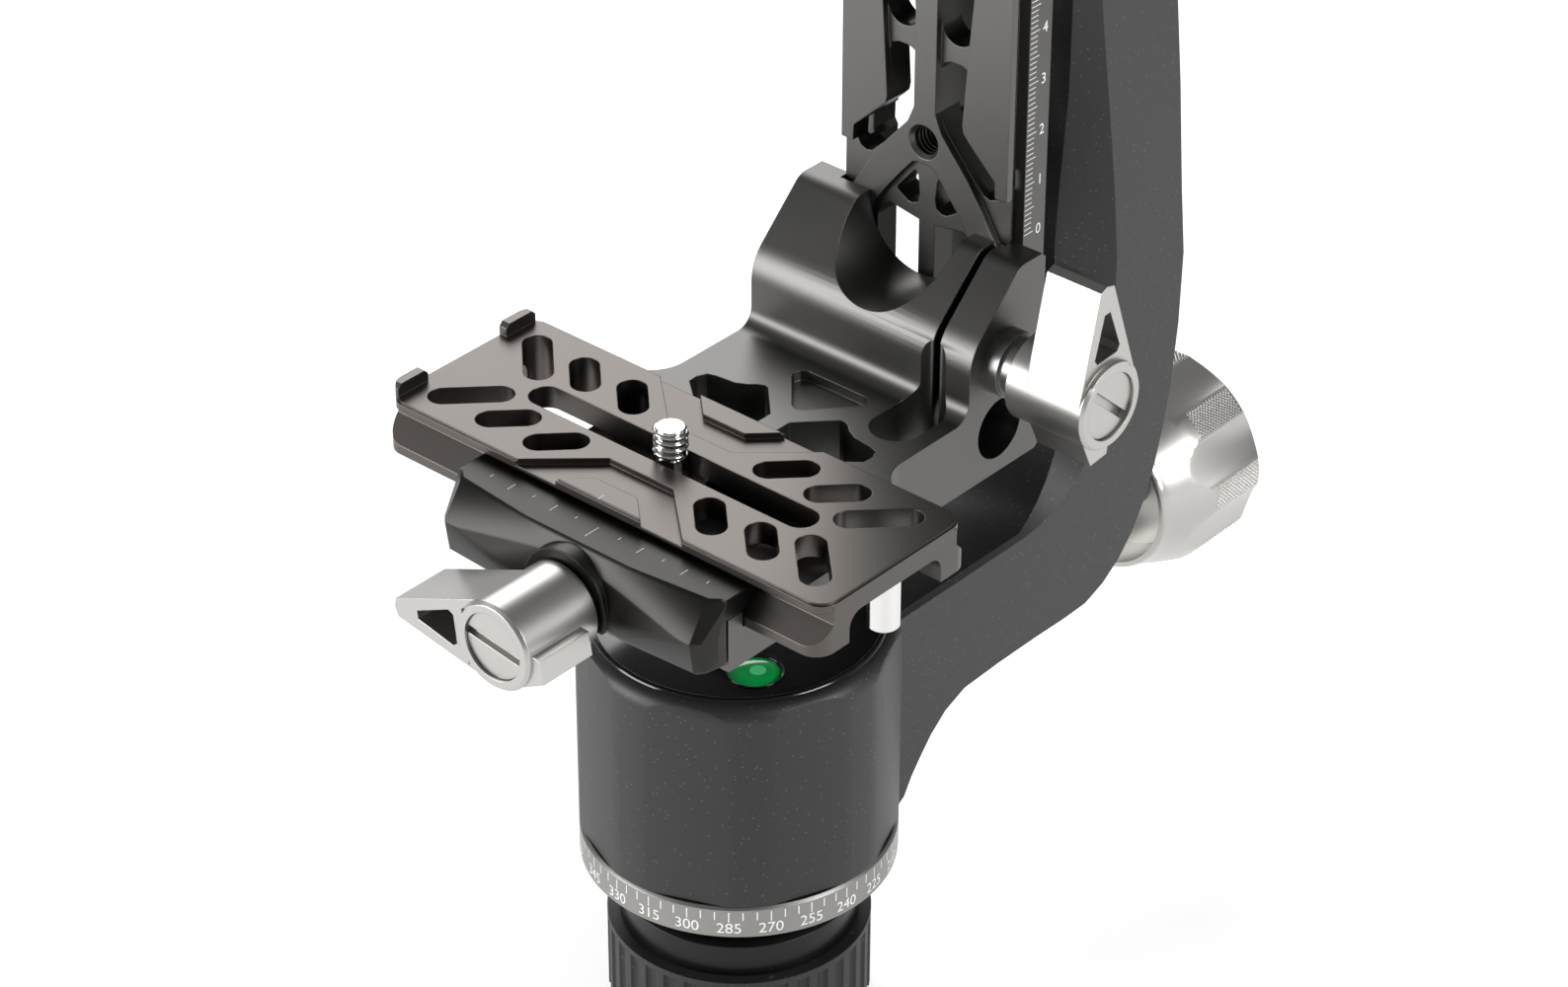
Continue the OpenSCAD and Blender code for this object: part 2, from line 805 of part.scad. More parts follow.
module tilt_inner_races() {
    color([0.7, 0.7, 0.72]) {
        along_y(tilt_lo_y, ta)
            race_in(tilt_lo_in, tilt_lo_out);
        along_y(tilt_hi_y, ta)
            race_in(tilt_hi_in, tilt_hi_out);
    }
}

module tilt_balls() {
    color([0.8, 0.8, 0.82]) {
        along_y(tilt_lo_y, ta)
            balls(tilt_lo_in, tilt_lo_out, 15);
        along_y(tilt_hi_y, ta)
            balls(tilt_hi_in, tilt_hi_out, 13);
    }
}

module shaft_washer() {
    color([0.7, 0.7, 0.72])
        ytube(10.4, 6.1, tilt_hi_y + brg_w, tilt_hi_y + brg_w + 1.2, 0, ta);
}

module shaft_nut() {
    color([0.6, 0.6, 0.62])
    along_y(tilt_hi_y + brg_w + 1.2, ta)
        nut(18, 6, 0, 4.4);
}

module pivot_cap() {
    color([0.1, 0.1, 0.1])
    union() {
        ycyl(7, rail_y + 0.3, rail_y + 2.5, 0, ta);
        ycyl(5, rail_y + 2.5 - e, rail_y + 7, 0, ta);
    }
}

module rail_stop_screws() {
    color([0.5, 0.5, 0.52])
    for (x = [-9, 9]) {
        cap_head_y(2.75, 3, rail_y - 3, x, zr + rail_low + 4.2);
        ycyl(1.5, rail_y - e, rail_y + 8.5, x, zr + rail_low + 4.2);
    }
}

// ---------- lens bracket ----------

// everything that rides on the rail
module carried() {
    translate([0, 0, zr + carriage_up])
        children();
}

// plan of the bracket foot, in (x, y)
module foot_plan() {
    translate([-bw, 0])
        square([2 * bw, 51]);
    translate([-cl, -37.4])
        square([2 * cl, 43.4]);
    for (m = [0, 1])
        mirror([m, 0])
            difference() {
                translate([bw - 1, 5])
                    square([cl - bw + 1, 9]);
                translate([bw + 8, 14])
                    circle(r = 8);
                translate([cl, 4])
                    square([20, 20]);
            }
}

// corner p of an outline between its neighbours a and b, rounded by r in n steps
function corner(a, p, b, r, n = 5) =
    let(u = (a - p) / norm(a - p), v = (b - p) / norm(b - p), h = acos(u * v) / 2,
        c = p + (u + v) / norm(u + v) * r / sin(h), t = p + u * r / tan(h) - c,
        sweep = sign(u[1] * v[0] - u[0] * v[1]) * (180 - 2 * h), first = atan2(t[1], t[0]))
    [for (i = [0 : n]) c + r * [cos(first + i * sweep / n), sin(first + i * sweep / n)]];

// upright of the bracket in (y, z)
module upright_side() {
    brow = [45.9, br_high];
    bend = [wall_y, 99];
    foot = [wall_y, 89.7];
    difference() {
        polygon(concat([[12, br_low], [51.8, br_low], [grip_y, br_low + 1.2], [grip_y, br_high - 1],
            [52, br_high]], corner([52, br_high], brow, bend, 3.8), corner(brow, bend, foot, 9.8, 8),
            [foot, [28, 85], [12, 85]]));
        translate([wall_y - 3.6, br_top + 3.6])
            circle(r = 3.6);
    }
}

// one of the two mirrored windows of the platform, in (x, y)
module deck_window() {
    polygon([[2.2, 6.3], [2.2, 11.2], [8.4, 17.6], [9.2, 17.8], [10.5, 17.2], [12, 15.9],
        [14, 14.9], [18, 14.5], [19.7, 13.9], [20.5, 12.2], [20.4, 10], [17.2, 7.3],
        [16, 6.3]]);
}

module lens_bracket() {
    color([0.13, 0.13, 0.14])
    carried()
    difference() {
        union() {
            // foot under the plate
            translate([0, 0, br_low])
                linear_extrude(height = br_bed - br_low)
                    foot_plan();
            // raised platform with the fixed hook
            intersection() {
                translate([0, 0, br_low])
                    linear_extrude(height = 40)
                        foot_plan();
                prism_x(-60, 60)
                    polygon([[py + plate_foot + 0.1, br_low], [py + plate_foot + 0.1, 80.9],
                        [py + plate_foot - 3.2, 84.2], [py + plate_foot - 3.2, br_top - 0.4],
                        [py + plate_foot - 2.8, br_top], [wall_y, br_top], [wall_y, br_low]]);
            }
            prism_x(-bw, bw)
                upright_side();
            // cove between platform and upright
            difference() {
                translate([-bw, wall_y - 3.6, br_top - 1])
                    cube([2 * bw, 4, 4.6]);
                xcyl(3.6, -bw - 1, bw + 1, wall_y - 3.6, br_top + 3.6);
            }
            // ridge behind the moving jaw
            translate([-cl, -37.4, br_low])
                cube([2 * cl, 3.6, 82 - br_low]);
        }
        // channel for the rail
        translate([0, 0, br_low - 1])
            linear_extrude(height = 60)
                polygon([[-rail_hw - run_gap, rail_y - run_gap], [rail_hw + run_gap, rail_y - run_gap],
                    [rail_hw + run_gap, rail_y + lip_t + 0.02], [rail_hw - 1.6, rail_y + lip_t + 1.72],
                    [rail_hw - 1.6, grip_y + 2], [1.6 - rail_hw, grip_y + 2],
                    [1.6 - rail_hw, rail_y + lip_t + 1.72],
                    [-rail_hw - run_gap, rail_y + lip_t + 0.02]]);
        // saddle
        ycyl(saddle_r, 20, 60, 0, 110.8);
        translate([-saddle_r, 28, 110.8])
            cube([2 * saddle_r, 30, 10]);
        // slit and its relief free the right cheek
        translate([slit_x - slit_w / 2, 24, br_low - 1])
            cube([slit_w, 32, 60]);
        translate([0, 0, br_low - 1])
            linear_extrude(height = 28.5)
                pill(slit_x, 22.6, slit_x, 28.5, relief_r);
        // cross hole of the cheek, guide pin hole and stud bore
        xcyl(6, 10.5, 40, 41.3, 80.6);
        xcyl(2, -6, 12, 41.3, 80.6);
        xcyl(lever_pin_r + run_gap, -21, 40, lever_y, lever_z);
        // stud and guide pins of the clamp
        ycyl(lever_pin_r + run_gap, -50, -18, 0, clamp_z);
        for (x = [-22, 22])
            ycyl(1.5, -50, -28, x, clamp_z);
        // windows and triangular pocket of the platform
        for (m = [0, 1])
            mirror([m, 0, 0])
                translate([0, 0, br_low - 1])
                    linear_extrude(height = 20)
                        deck_window();
        translate([0, 0, br_top - 2])
            linear_extrude(height = 5)
                polygon([[-6.6, 26.6], [6.6, 26.6], [7.8, 25.8], [8.2, 24.4], [7.6, 23.2],
                    [1.4, 16], [0, 15.3], [-1.4, 16], [-7.6, 23.2], [-8.2, 24.4], [-7.8, 25.8]]);
        // chamfered ends of the clamp foot
        for (m = [0, 1])
            mirror([m, 0, 0])
                translate([cl, -38, br_low])
                    rotate([0, 45, 0])
                        cube([1.2, 46, 1.2], center = false);
    }
}

module jaw_guide_pins() {
    color([0.7, 0.7, 0.72])
    carried()
        for (x = [-22, 22])
            ycyl(1.5, -43.2, -28, x, clamp_z);
}

module cheek_pin() {
    color([0.7, 0.7, 0.72])
    carried()
        xcyl(2, -6, 19.5, 41.3, 80.6);
}

// ---------- levers ----------

// lever in its own frame: axis +Z, wing towards +Y, inner face at z = 0
module lever_shape() {
    tip = 1.8;
    // the flat sides of the wing leave the round end at a tangent
    lean = 16.4;
    root = [lever_r * cos(lean), lever_r * sin(lean)];
    difference() {
        union() {
            cylinder(r = lever_r, h = lever_len);
            translate([0, 0, wing_in])
                linear_extrude(height = lever_len - 1 - wing_in)
                    union() {
                        polygon([[-root[0], root[1]], root, [tip, lever_reach - 0.6],
                            [0, lever_reach], [-tip, lever_reach - 0.6]]);
                        // small nib opposite the wing
                        polygon([[-6.6, -5.2], [0.4, -8.2], [0, -10.3], [-4.5, -10.5]]);
                    }
        }
        // rounded triangular finger hole through the wing
        translate([0, 0, -1])
            linear_extrude(height = lever_len + 2)
                polygon([[-0.8, 18.8], [0.8, 18.8], [3.5, 10.8], [2.8, 9.7], [-2.8, 9.7],
                    [-3.5, 10.8]]);
        // seat of the slotted screw and bore of the stud
        translate([0, 0, lever_len - 3])
            cylinder(r = lever_cap_r + 0.1, h = 5);
        translate([0, 0, -1])
            cylinder(r = lever_pin_r, h = lever_len);
        translate([0, 0, lever_len - 0.6])
            difference() {
                cylinder(r = lever_r + 2, h = 2);
                cylinder(r1 = lever_r, r2 = lever_r - 1.4, h = 1.4);
                translate([-20, lever_r - 2, -1])
                    cube([40, 40, 6]);
            }
    }
}

// slotted screw in the end of a lever, slot turned by a
module lever_screw_shape(a) {
    difference() {
        translate([0, 0, lever_len - 3])
            cylinder(r = lever_cap_r, h = 2.4);
        rotate([0, 0, a])
            translate([-lever_cap_r - 1, -0.8, lever_len - 1.9])
                cube([2 * lever_cap_r + 2, 1.6, 3]);
    }
}

// places a lever on the bracket: axis +X, wing up
module at_bracket() {
    carried()
        translate([bw + collar_out, lever_y, lever_z])
            rotate([0, 90, 0])
                rotate([0, 0, lever_lean])
                    children();
}

// places a lever on the clamp: axis -Y, wing towards -X
module at_clamp() {
    carried()
        translate([0, clamp_face - 0.6, clamp_z])
            rotate([90, 0, 0])
                rotate([0, 0, lever_lean + 4])
                    children();
}

module bracket_collar() {
    color([0.1, 0.1, 0.1])
    carried()
        difference() {
            union() {
                xcyl(6.2, bw, bw + 3.2, lever_y, lever_z);
                xcyl(5.5, bw + 3.2 - e, bw + collar_out, lever_y, lever_z);
            }
            xcyl(lever_pin_r + run_gap, bw - 1, bw + collar_out + 1, lever_y, lever_z);
        }
}

module bracket_lever() {
    color([0.72, 0.72, 0.73])
        at_bracket()
            lever_shape();
}

module bracket_lever_screw() {
    color([0.72, 0.72, 0.73])
        at_bracket()
            lever_screw_shape(-45);
}

module bracket_lever_stud() {
    color([0.6, 0.6, 0.62])
    carried()
        xcyl(lever_pin_r, -20, bw + collar_out + lever_len - 3, lever_y, lever_z);
}

module clamp_jaw() {
    color([0.16, 0.16, 0.17])
    carried()
    difference() {
        union() {
            // nose that hooks over the plate foot, and the strip that carries the ticks
            prism_x(-cl, cl)
                polygon([[jaw_y, 82.3], [py - plate_foot + 1.4, 82.3], [py - plate_foot + 3.3, 84.2],
                    [py - plate_foot + 3.3, br_top - 0.3], [py - plate_foot + 3, br_top],
                    [jaw_y, br_top]]);
            // front whose facets twist from the lever towards the round ends
            for (m = [0, 1])
                mirror([m, 0, 0])
                    hull() {
                        prism_x(-0.2, 12)
                            polygon([[jaw_y, br_top], [jaw_y - 3, br_top], [jaw_y - 3.5, 85.8],
                                [jaw_y - 4.2, 84.2], [jaw_y - 6, 73.6], [jaw_y - 5.5, 72.6],
                                [jaw_y, 72.6]]);
                        prism_x(cl - 6, cl - 2.6)
                            polygon([[jaw_y, br_top], [jaw_y - 1.2, br_top], [jaw_y - 2.2, 85.7],
                                [jaw_y - 6.3, 79.4], [jaw_y - 5.4, 73.4], [jaw_y - 4.6, 72.6],
                                [jaw_y, 72.6]]);
                        prism_x(cl - 1.4, cl - 1.2)
                            polygon([[jaw_y, br_top], [jaw_y - 0.6, br_top - 0.3],
                                [jaw_y - 4.9, 79.4], [jaw_y - 4.3, 73.8], [jaw_y - 3.8, 73],
                                [jaw_y, 72.6]]);
                        prism_x(cl - 0.1, cl)
                            polygon([[jaw_y, br_top - 1], [jaw_y - 2, 79.4],
                                [jaw_y - 1.8, 74.2], [jaw_y, 73.4]]);
                    }
            // round boss behind the lever
            ycyl(9.4, clamp_face, jaw_y, 0, clamp_z + 1);
        }
        ycyl(lever_pin_r + run_gap, -60, -20, 0, clamp_z);
        for (x = [-22, 22])
            ycyl(1.5 + run_gap, -43.5, -30, x, clamp_z);
        translate([-30, -60, 60])
            cube([60, 40, 72.6 - 60]);
    }
}

module clamp_washer() {
    color([0.7, 0.7, 0.72])
    carried()
        ytube(7.2, lever_pin_r + run_gap, clamp_face - 0.6, clamp_face, 0, clamp_z);
}

module clamp_lever() {
    color([0.72, 0.72, 0.73])
        at_clamp()
            lever_shape();
}

module clamp_lever_screw() {
    color([0.72, 0.72, 0.73])
        at_clamp()
            lever_screw_shape(75);
}

module clamp_lever_stud() {
    color([0.6, 0.6, 0.62])
    carried()
        ycyl(lever_pin_r, clamp_face - 0.6 - lever_len + 3, -19, 0, clamp_z);
}

// ---------- camera plate ----------

// outline of the deck, in (x, y), with round corners
module deck_outline(hx, hy, r) {
    translate([-hx, r - hy])
        square([2 * hx, 2 * hy - 2 * r]);
    translate([r - hx, -hy])
        square([2 * hx - 2 * r, 2 * hy]);
    for (sx = [-1, 1], sy = [-1, 1])
        translate([sx * (hx - r), sy * (hy - r)])
            circle(r = r);
}

// front pocket of the deck, drawn open towards -Y
module deck_pocket() {
    hy = deck_w / 2;
    difference() {
        polygon([[-7.35, 7.6 - hy + 3.4], [7.35, 7.6 - hy + 3.4], [19.3, -hy + 0.2],
            [19.3, -hy - 2], [-19.3, -hy - 2], [-19.3, -hy + 0.2]]);
        polygon([[-4.9, 4.8 - hy], [4.9, 4.8 - hy], [10.4, -hy - 0.5], [-10.4, -hy - 0.5]]);
    }
}

module camera_plate() {
    hl = plate_len / 2;
    hd = deck_w / 2;
    color([0.36, 0.35, 0.35])
    carried()
    translate([px, py, 0])
    difference() {
        union() {
            translate([0, 0, deck_top - deck_t])
                linear_extrude(height = deck_t - 0.4)
                    deck_outline(hl, hd, 3.8);
            translate([0, 0, deck_top - 0.4 - e])
                linear_extrude(height = 0.4 + e)
                    deck_outline(hl - 0.35, hd - 0.35, 3.5);
            intersection() {
                prism_x(-hl, hl)
                    polygon([[-plate_foot, plate_low], [plate_foot, plate_low],
                        [plate_foot, plate_low + plate_lip], [plate_neck, plate_low + plate_lip + 3.8],
                        [plate_neck, deck_top - 1], [-plate_neck, deck_top - 1],
                        [-plate_neck, plate_low + plate_lip + 3.8],
                        [-plate_foot, plate_low + plate_lip]]);
                translate([0, 0, plate_low - 1])
                    linear_extrude(height = 20)
                        deck_outline(hl, plate_foot, 3.8);
            }
            // two stop lugs on the -X end of the deck
            intersection() {
                for (my = [0, 1])
                    mirror([0, my, 0])
                        prism_x(-hl, lug_t - hl)
                            polygon([[lug_in, deck_top - 1], [lug_out, deck_top - 1],
                                [lug_out, deck_top + lug_h - 0.8],
                                [lug_out - 0.8, deck_top + lug_h],
                                [lug_in + 0.8, deck_top + lug_h],
                                [lug_in, deck_top + lug_h - 0.8]]);
                linear_extrude(height = deck_top + 10)
                    deck_outline(hl, hd, 3.8);
            }
        }
        // channel underneath, with round inner corners
        prism_x(-hl - 1, hl + 1)
            union() {
                translate([-channel_hw, plate_low - 1])
                    square([2 * channel_hw, channel_top - plate_low - 2]);
                translate([3 - channel_hw, channel_top - 6])
                    square([2 * channel_hw - 6, 6]);
                for (s = [-1, 1])
                    translate([s * (channel_hw - 3), channel_top - 3])
                        circle(r = 3);
            }
        // long slot with its ledge and the tapped end
        translate([0, 0, channel_top - 1])
            linear_extrude(height = 10)
                pill(3.25 - slot_len / 2, 0, slot_len / 2 - 3.25, 0, 3.25);
        // slanted slots, mirrored both ways
        for (mx = [0, 1], my = [0, 1])
            mirror([mx, 0, 0])
                mirror([0, my, 0])
                    translate([0, 0, channel_top - 8])
                        linear_extrude(height = 20) {
                            translate([39.8, 8.5])
                                rotate([0, 0, 45])
                                    pill(-5, 0, 5, 0, 2.75);
                            translate([29.5, 9.8])
                                rotate([0, 0, 45])
                                    pill(-3.1, 0, 3.1, 0, 2.75);
                            translate([17.95, 9.8])
                                rotate([0, 0, 45])
                                    pill(-3.1, 0, 3.1, 0, 2.75);
                        }
        // trapezoid pockets on both long edges
        for (my = [0, 1])
            mirror([0, my, 0])
                translate([0, 0, deck_top - 1.2])
                    linear_extrude(height = 3)
                        deck_pocket();
        // press-fit holes of the stop pins
        for (s = [-1, 1])
            translate([44.3 * s, 4.7 * s, channel_top - 3])
                cylinder(r = 2.9, h = 6.4);
    }
}

module plate_stop_pins() {
    color([0.8, 0.8, 0.82])
    carried()
        for (s = [-1, 1])
            translate([px + 44.3 * s, py + 4.7 * s, 71])
                rotate_extrude()
                    polygon([[0, 0], [2.5, 0], [2.9, 0.4], [2.9, 16.9], [0, 16.9]]);
}

module screw_washer() {
    color([0.7, 0.7, 0.72])
    carried()
        translate([px, py, 0])
            tube(6.4, cam_r - 0.2 + run_gap, channel_top - 1, channel_top);
}

module camera_screw() {
    color([0.85, 0.85, 0.86])
    carried()
    translate([px, py, 0])
        difference() {
            rotate_extrude()
                polygon([[0, channel_top - 3.2], [5.6, channel_top - 3.2], [5.6, channel_top - 1],
                    [cam_r - 0.2, channel_top - 1], [cam_r - 0.2, deck_top + 0.4],
                    [cam_r, deck_top + 0.4], [cam_r, deck_top + screw_up - 0.6],
                    [cam_r - 0.6, deck_top + screw_up], [0, deck_top + screw_up]]);
            translate([-6, -0.7, channel_top - 4])
                cube([12, 1.4, 2]);
        }
}

base_body();
grip_ring();
degree_ring();
pan_spindle();
spindle_screws();
pan_inner_races();
pan_balls();
spindle_washer();
spindle_nut();
main_arm();
pan_outer_races();
glide_ring();
hub_cap();
bubble_rim();
bubble_vial();
tilt_outer_races();
tilt_cover();
cover_screws();
pan_brake_shoe();
pan_knob();
pan_knob_stud();
pan_knob_cap();
tilt_brake_disc();
tilt_knob();
tilt_knob_stud();
tilt_knob_cap();
swing_rail();
tilt_shaft();
rail_screws();
tilt_inner_races();
tilt_balls();
shaft_washer();
shaft_nut();
pivot_cap();
rail_stop_screws();
lens_bracket();
jaw_guide_pins();
cheek_pin();
bracket_collar();
bracket_lever();
bracket_lever_screw();
bracket_lever_stud();
clamp_jaw();
clamp_washer();
clamp_lever();
clamp_lever_screw();
clamp_lever_stud();
camera_plate();
plate_stop_pins();
screw_washer();
camera_screw();
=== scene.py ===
"""Gimbal tripod head: materials, edges, scales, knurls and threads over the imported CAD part."""
import json
import math

import bmesh
import bpy
from mathutils import Matrix, Vector

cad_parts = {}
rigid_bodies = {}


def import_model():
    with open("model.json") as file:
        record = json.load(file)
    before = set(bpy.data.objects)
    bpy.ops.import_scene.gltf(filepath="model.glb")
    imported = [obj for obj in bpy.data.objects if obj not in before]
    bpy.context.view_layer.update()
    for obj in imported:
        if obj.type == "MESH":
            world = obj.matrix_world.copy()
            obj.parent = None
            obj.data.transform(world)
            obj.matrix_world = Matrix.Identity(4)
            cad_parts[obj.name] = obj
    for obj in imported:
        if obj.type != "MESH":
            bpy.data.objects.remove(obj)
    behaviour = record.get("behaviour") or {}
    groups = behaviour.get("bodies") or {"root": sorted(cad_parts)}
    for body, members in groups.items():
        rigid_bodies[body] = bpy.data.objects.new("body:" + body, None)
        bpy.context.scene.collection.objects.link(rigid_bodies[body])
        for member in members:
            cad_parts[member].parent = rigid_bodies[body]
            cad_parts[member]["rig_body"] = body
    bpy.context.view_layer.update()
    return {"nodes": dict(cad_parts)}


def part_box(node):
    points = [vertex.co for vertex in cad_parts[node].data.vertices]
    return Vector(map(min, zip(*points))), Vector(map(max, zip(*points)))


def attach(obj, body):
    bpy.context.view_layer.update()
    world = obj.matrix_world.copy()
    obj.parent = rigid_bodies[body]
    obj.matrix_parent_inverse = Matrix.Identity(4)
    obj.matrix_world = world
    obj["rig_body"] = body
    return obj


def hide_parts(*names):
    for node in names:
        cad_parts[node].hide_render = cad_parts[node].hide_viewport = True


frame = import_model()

# ---------- Foot of the base ----------
# A turned aluminium foot, black anodised after turning, that takes the tripod screw underneath.
# Its grooves are cut on the lathe, so fine rings run round it and its edges are broken, not sharp.

scene = bpy.context.scene
mm = 0.001


def linear(code):
    """An sRGB hex colour as the linear RGBA that the shader takes."""
    parts = [int(code[i:i + 2], 16) / 255 for i in (1, 3, 5)]
    return tuple(p / 12.92 if p <= 0.04045 else ((p + 0.055) / 1.055) ** 2.4
                 for p in parts) + (1.0,)


def add(tree, kind, inputs=None, **settings):
    """Adds a node with its settings. Each input takes a value or another node's output."""
    node = tree.nodes.new(kind)
    for name, value in settings.items():
        setattr(node, name, value)
    for socket, value in (inputs or {}).items():
        if isinstance(value, bpy.types.NodeSocket):
            tree.links.new(value, node.inputs[socket])
        else:
            node.inputs[socket].default_value = value
    return node


def finish(name, colour, metallic, roughness, edge=0.25, further=None):
    """A material whose edges look broken by a small radius in mm."""
    made = bpy.data.materials.new(name)
    made.use_nodes = True
    tree = made.node_tree
    tree.nodes.clear()
    broken = add(tree, "ShaderNodeBevel", {"Radius": edge * mm}, samples=6)
    values = {"Base Color": linear(colour), "Metallic": metallic, "Roughness": roughness,
              "Normal": broken.outputs["Normal"]}
    values.update(further or {})
    shader = add(tree, "ShaderNodeBsdfPrincipled", values)
    add(tree, "ShaderNodeOutputMaterial", {"Surface": shader.outputs["BSDF"]})
    return made


def broken_edges(material):
    """The normal of a finish with its broken edges, for a bump to build on."""
    return material.node_tree.nodes["Bevel"].outputs["Normal"]


def wire(material, socket, output):
    """Feeds a pattern into one input of a finish's shader."""
    tree = material.node_tree
    tree.links.new(output, tree.nodes["Principled BSDF"].inputs[socket])


def flatten_planes(work):
    """Leaves only the round surfaces of a mesh shaded smooth: each wide plane is shaded flat."""
    same_way = 0.99999  # the least cosine between the normals of one plane's faces
    strip = 1.5 * mm  # a plane narrower than this is taken as a facet of a round surface
    one_facet = 2  # and so is one of no more triangles than this
    work.normal_update()
    work.faces.index_update()
    for face in work.faces:
        face.smooth = True
    seen = set()
    for first in work.faces:
        if first.index in seen:
            continue
        plane = [first]
        seen.add(first.index)
        for face in plane:
            for other in {near for edge in face.edges for near in edge.link_faces}:
                if other.index not in seen and other.normal.dot(first.normal) > same_way:
                    seen.add(other.index)
                    plane.append(other)
        corners = [v.co for face in plane for v in face.verts]
        span = Vector([max(c[i] for c in corners) - min(c[i] for c in corners)
                       for i in range(3)]).length
        area = sum(face.calc_area() for face in plane)
        if len(plane) > one_facet and area > strip * span:
            for face in plane:
                face.smooth = False


def shaded(name, material, smooth=35):
    """A merged copy that stands for a CAD node, smooth across edges under an angle in degrees."""
    same_point = 0.002 * mm
    source = frame["nodes"][name]
    mesh = source.data.copy()
    mesh.name = name + "_looks"
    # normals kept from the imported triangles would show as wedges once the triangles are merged
    if "custom_normal" in mesh.attributes:
        mesh.attributes.remove(mesh.attributes["custom_normal"])
    work = bmesh.new()
    work.from_mesh(mesh)
    bmesh.ops.remove_doubles(work, verts=work.verts, dist=same_point)
    flatten_planes(work)
    work.to_mesh(mesh)
    work.free()
    mesh.materials.clear()
    mesh.materials.append(material)
    mesh.set_sharp_from_angle(angle=math.radians(smooth))
    piece = bpy.data.objects.new(name + "_looks", mesh)
    scene.collection.objects.link(piece)
    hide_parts(name)
    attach(piece, source["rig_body"])
    return piece


turned_black = finish("black anodised aluminium, turned", "#2c2c2d", 0.9, 0.3)
tree = turned_black.node_tree
where = add(tree, "ShaderNodeTexCoord").outputs["Object"]
# The turning marks are drawn 2.76 mm apart, many times as coarse as real ones, so that they show.
# A wave texture of scale 1 repeats each twentieth of 2 pi.
mark_gap = 2.7635 * mm
wave_length = math.tau / 20
rings = add(tree, "ShaderNodeTexWave", {"Vector": where, "Scale": wave_length / mark_gap,
                                        "Distortion": 0.0}, bands_direction="Z")
marks = add(tree, "ShaderNodeBump", {"Height": rings.outputs["Fac"], "Strength": 0.06,
                                     "Distance": 0.02 * mm,
                                     "Normal": broken_edges(turned_black)})
wire(turned_black, "Normal", marks.outputs["Normal"])
shaded("base_body", turned_black)

# ---------- Grip ring ----------
# A moulded rubber ring with flutes, pressed round the neck of the base so that a hand can hold it.
# Moulded rubber is matt and near black, and catches a little pale dust.

# the sockets of a Mix node that mixes colours
mix_amount, mix_from, mix_to, mix_result = 0, 6, 7, 2

rubber_black, dust_grey = "#19191a", "#6d6c6a"
rubber = finish("moulded rubber", rubber_black, 0.0, 0.55)
tree = rubber.node_tree
where = add(tree, "ShaderNodeTexCoord").outputs["Object"]
# dust in patches of up to 1 mm that break up into specks down to an eighth of that
patch = 1.0 * mm
specks = add(tree, "ShaderNodeTexNoise", {"Vector": where, "Scale": 1 / patch, "Detail": 3.0})
dust = add(tree, "ShaderNodeMapRange", {"Value": specks.outputs["Fac"], "From Min": 0.66,
                                        "From Max": 0.8, "To Min": 0.0, "To Max": 0.5})
colour = add(tree, "ShaderNodeMix", {mix_amount: dust.outputs["Result"],
                                     mix_from: linear(rubber_black),
                                     mix_to: linear(dust_grey)}, data_type="RGBA")
wire(rubber, "Base Color", colour.outputs[mix_result])
shaded("grip_ring", rubber)

# ---------- Degree ring ----------
# A turned aluminium ring, blasted and clear anodised to a soft, even silver, glued under the hub.
# White ticks every five degrees and a number every fifteen are printed on it.


def blasted(name, colour, roughness, cell, strength, depth):
    """Aluminium anodised over blasting, whose grit has a cell and a depth in mm.

    Real grit is too fine to show, so the cells are drawn about a millimetre wide, with finer
    dents in them down to a sixteenth of that.
    """
    metal = finish(name, colour, 1.0, roughness)
    tree = metal.node_tree
    where = add(tree, "ShaderNodeTexCoord").outputs["Object"]
    grit = add(tree, "ShaderNodeTexNoise", {"Vector": where, "Scale": 1 / (cell * mm),
                                            "Detail": 4.0})
    dents = add(tree, "ShaderNodeBump", {"Height": grit.outputs["Fac"], "Strength": strength,
                                         "Distance": depth * mm,
                                         "Normal": broken_edges(metal)})
    wire(metal, "Normal", dents.outputs["Normal"])
    return metal


soft_silver = blasted("clear anodised aluminium, blasted ring", "#8f8e8b", 0.36,
                      cell=1.2, strength=0.12, depth=0.05)
shaded("degree_ring", soft_silver)

# printed ink is flat, matt and a little off white
white_ink = finish("white screen print", "#e4e4e2", 0.0, 0.6, edge=0.0)


def growing(name, **starts):
    """A geometry tree with one named number input for each of its sizes, in metres or a count."""
    tree = bpy.data.node_groups.new(name, "GeometryNodeTree")
    for label, start in starts.items():
        size = tree.interface.new_socket(label, in_out="INPUT", socket_type="NodeSocketFloat")
        size.default_value = start
    tree.interface.new_socket("Geometry", in_out="OUTPUT", socket_type="NodeSocketGeometry")
    return tree, tree.nodes.new("NodeGroupInput").outputs


def closing(tree, geometry, material):
    """Ends a geometry tree in real, painted geometry."""
    whole = add(tree, "GeometryNodeRealizeInstances", {"Geometry": geometry})
    painted = add(tree, "GeometryNodeSetMaterial", {"Geometry": whole.outputs["Geometry"],
                                                    "Material": material})
    add(tree, "NodeGroupOutput", {"Geometry": painted.outputs["Geometry"]})


def grown(tree, **sizes):
    """The plain mesh that a geometry tree makes with the given sizes."""
    holder = bpy.data.objects.new(tree.name, bpy.data.meshes.new(tree.name))
    scene.collection.objects.link(holder)
    growth = holder.modifiers.new(tree.name, "NODES")
    growth.node_group = tree
    for item in tree.interface.items_tree:
        if item.in_out == "INPUT" and item.name in sizes:
            growth[item.identifier] = float(sizes[item.name])
    graph = bpy.context.evaluated_depsgraph_get()
    mesh = bpy.data.meshes.new_from_object(holder.evaluated_get(graph))
    bpy.data.objects.remove(holder)
    return mesh


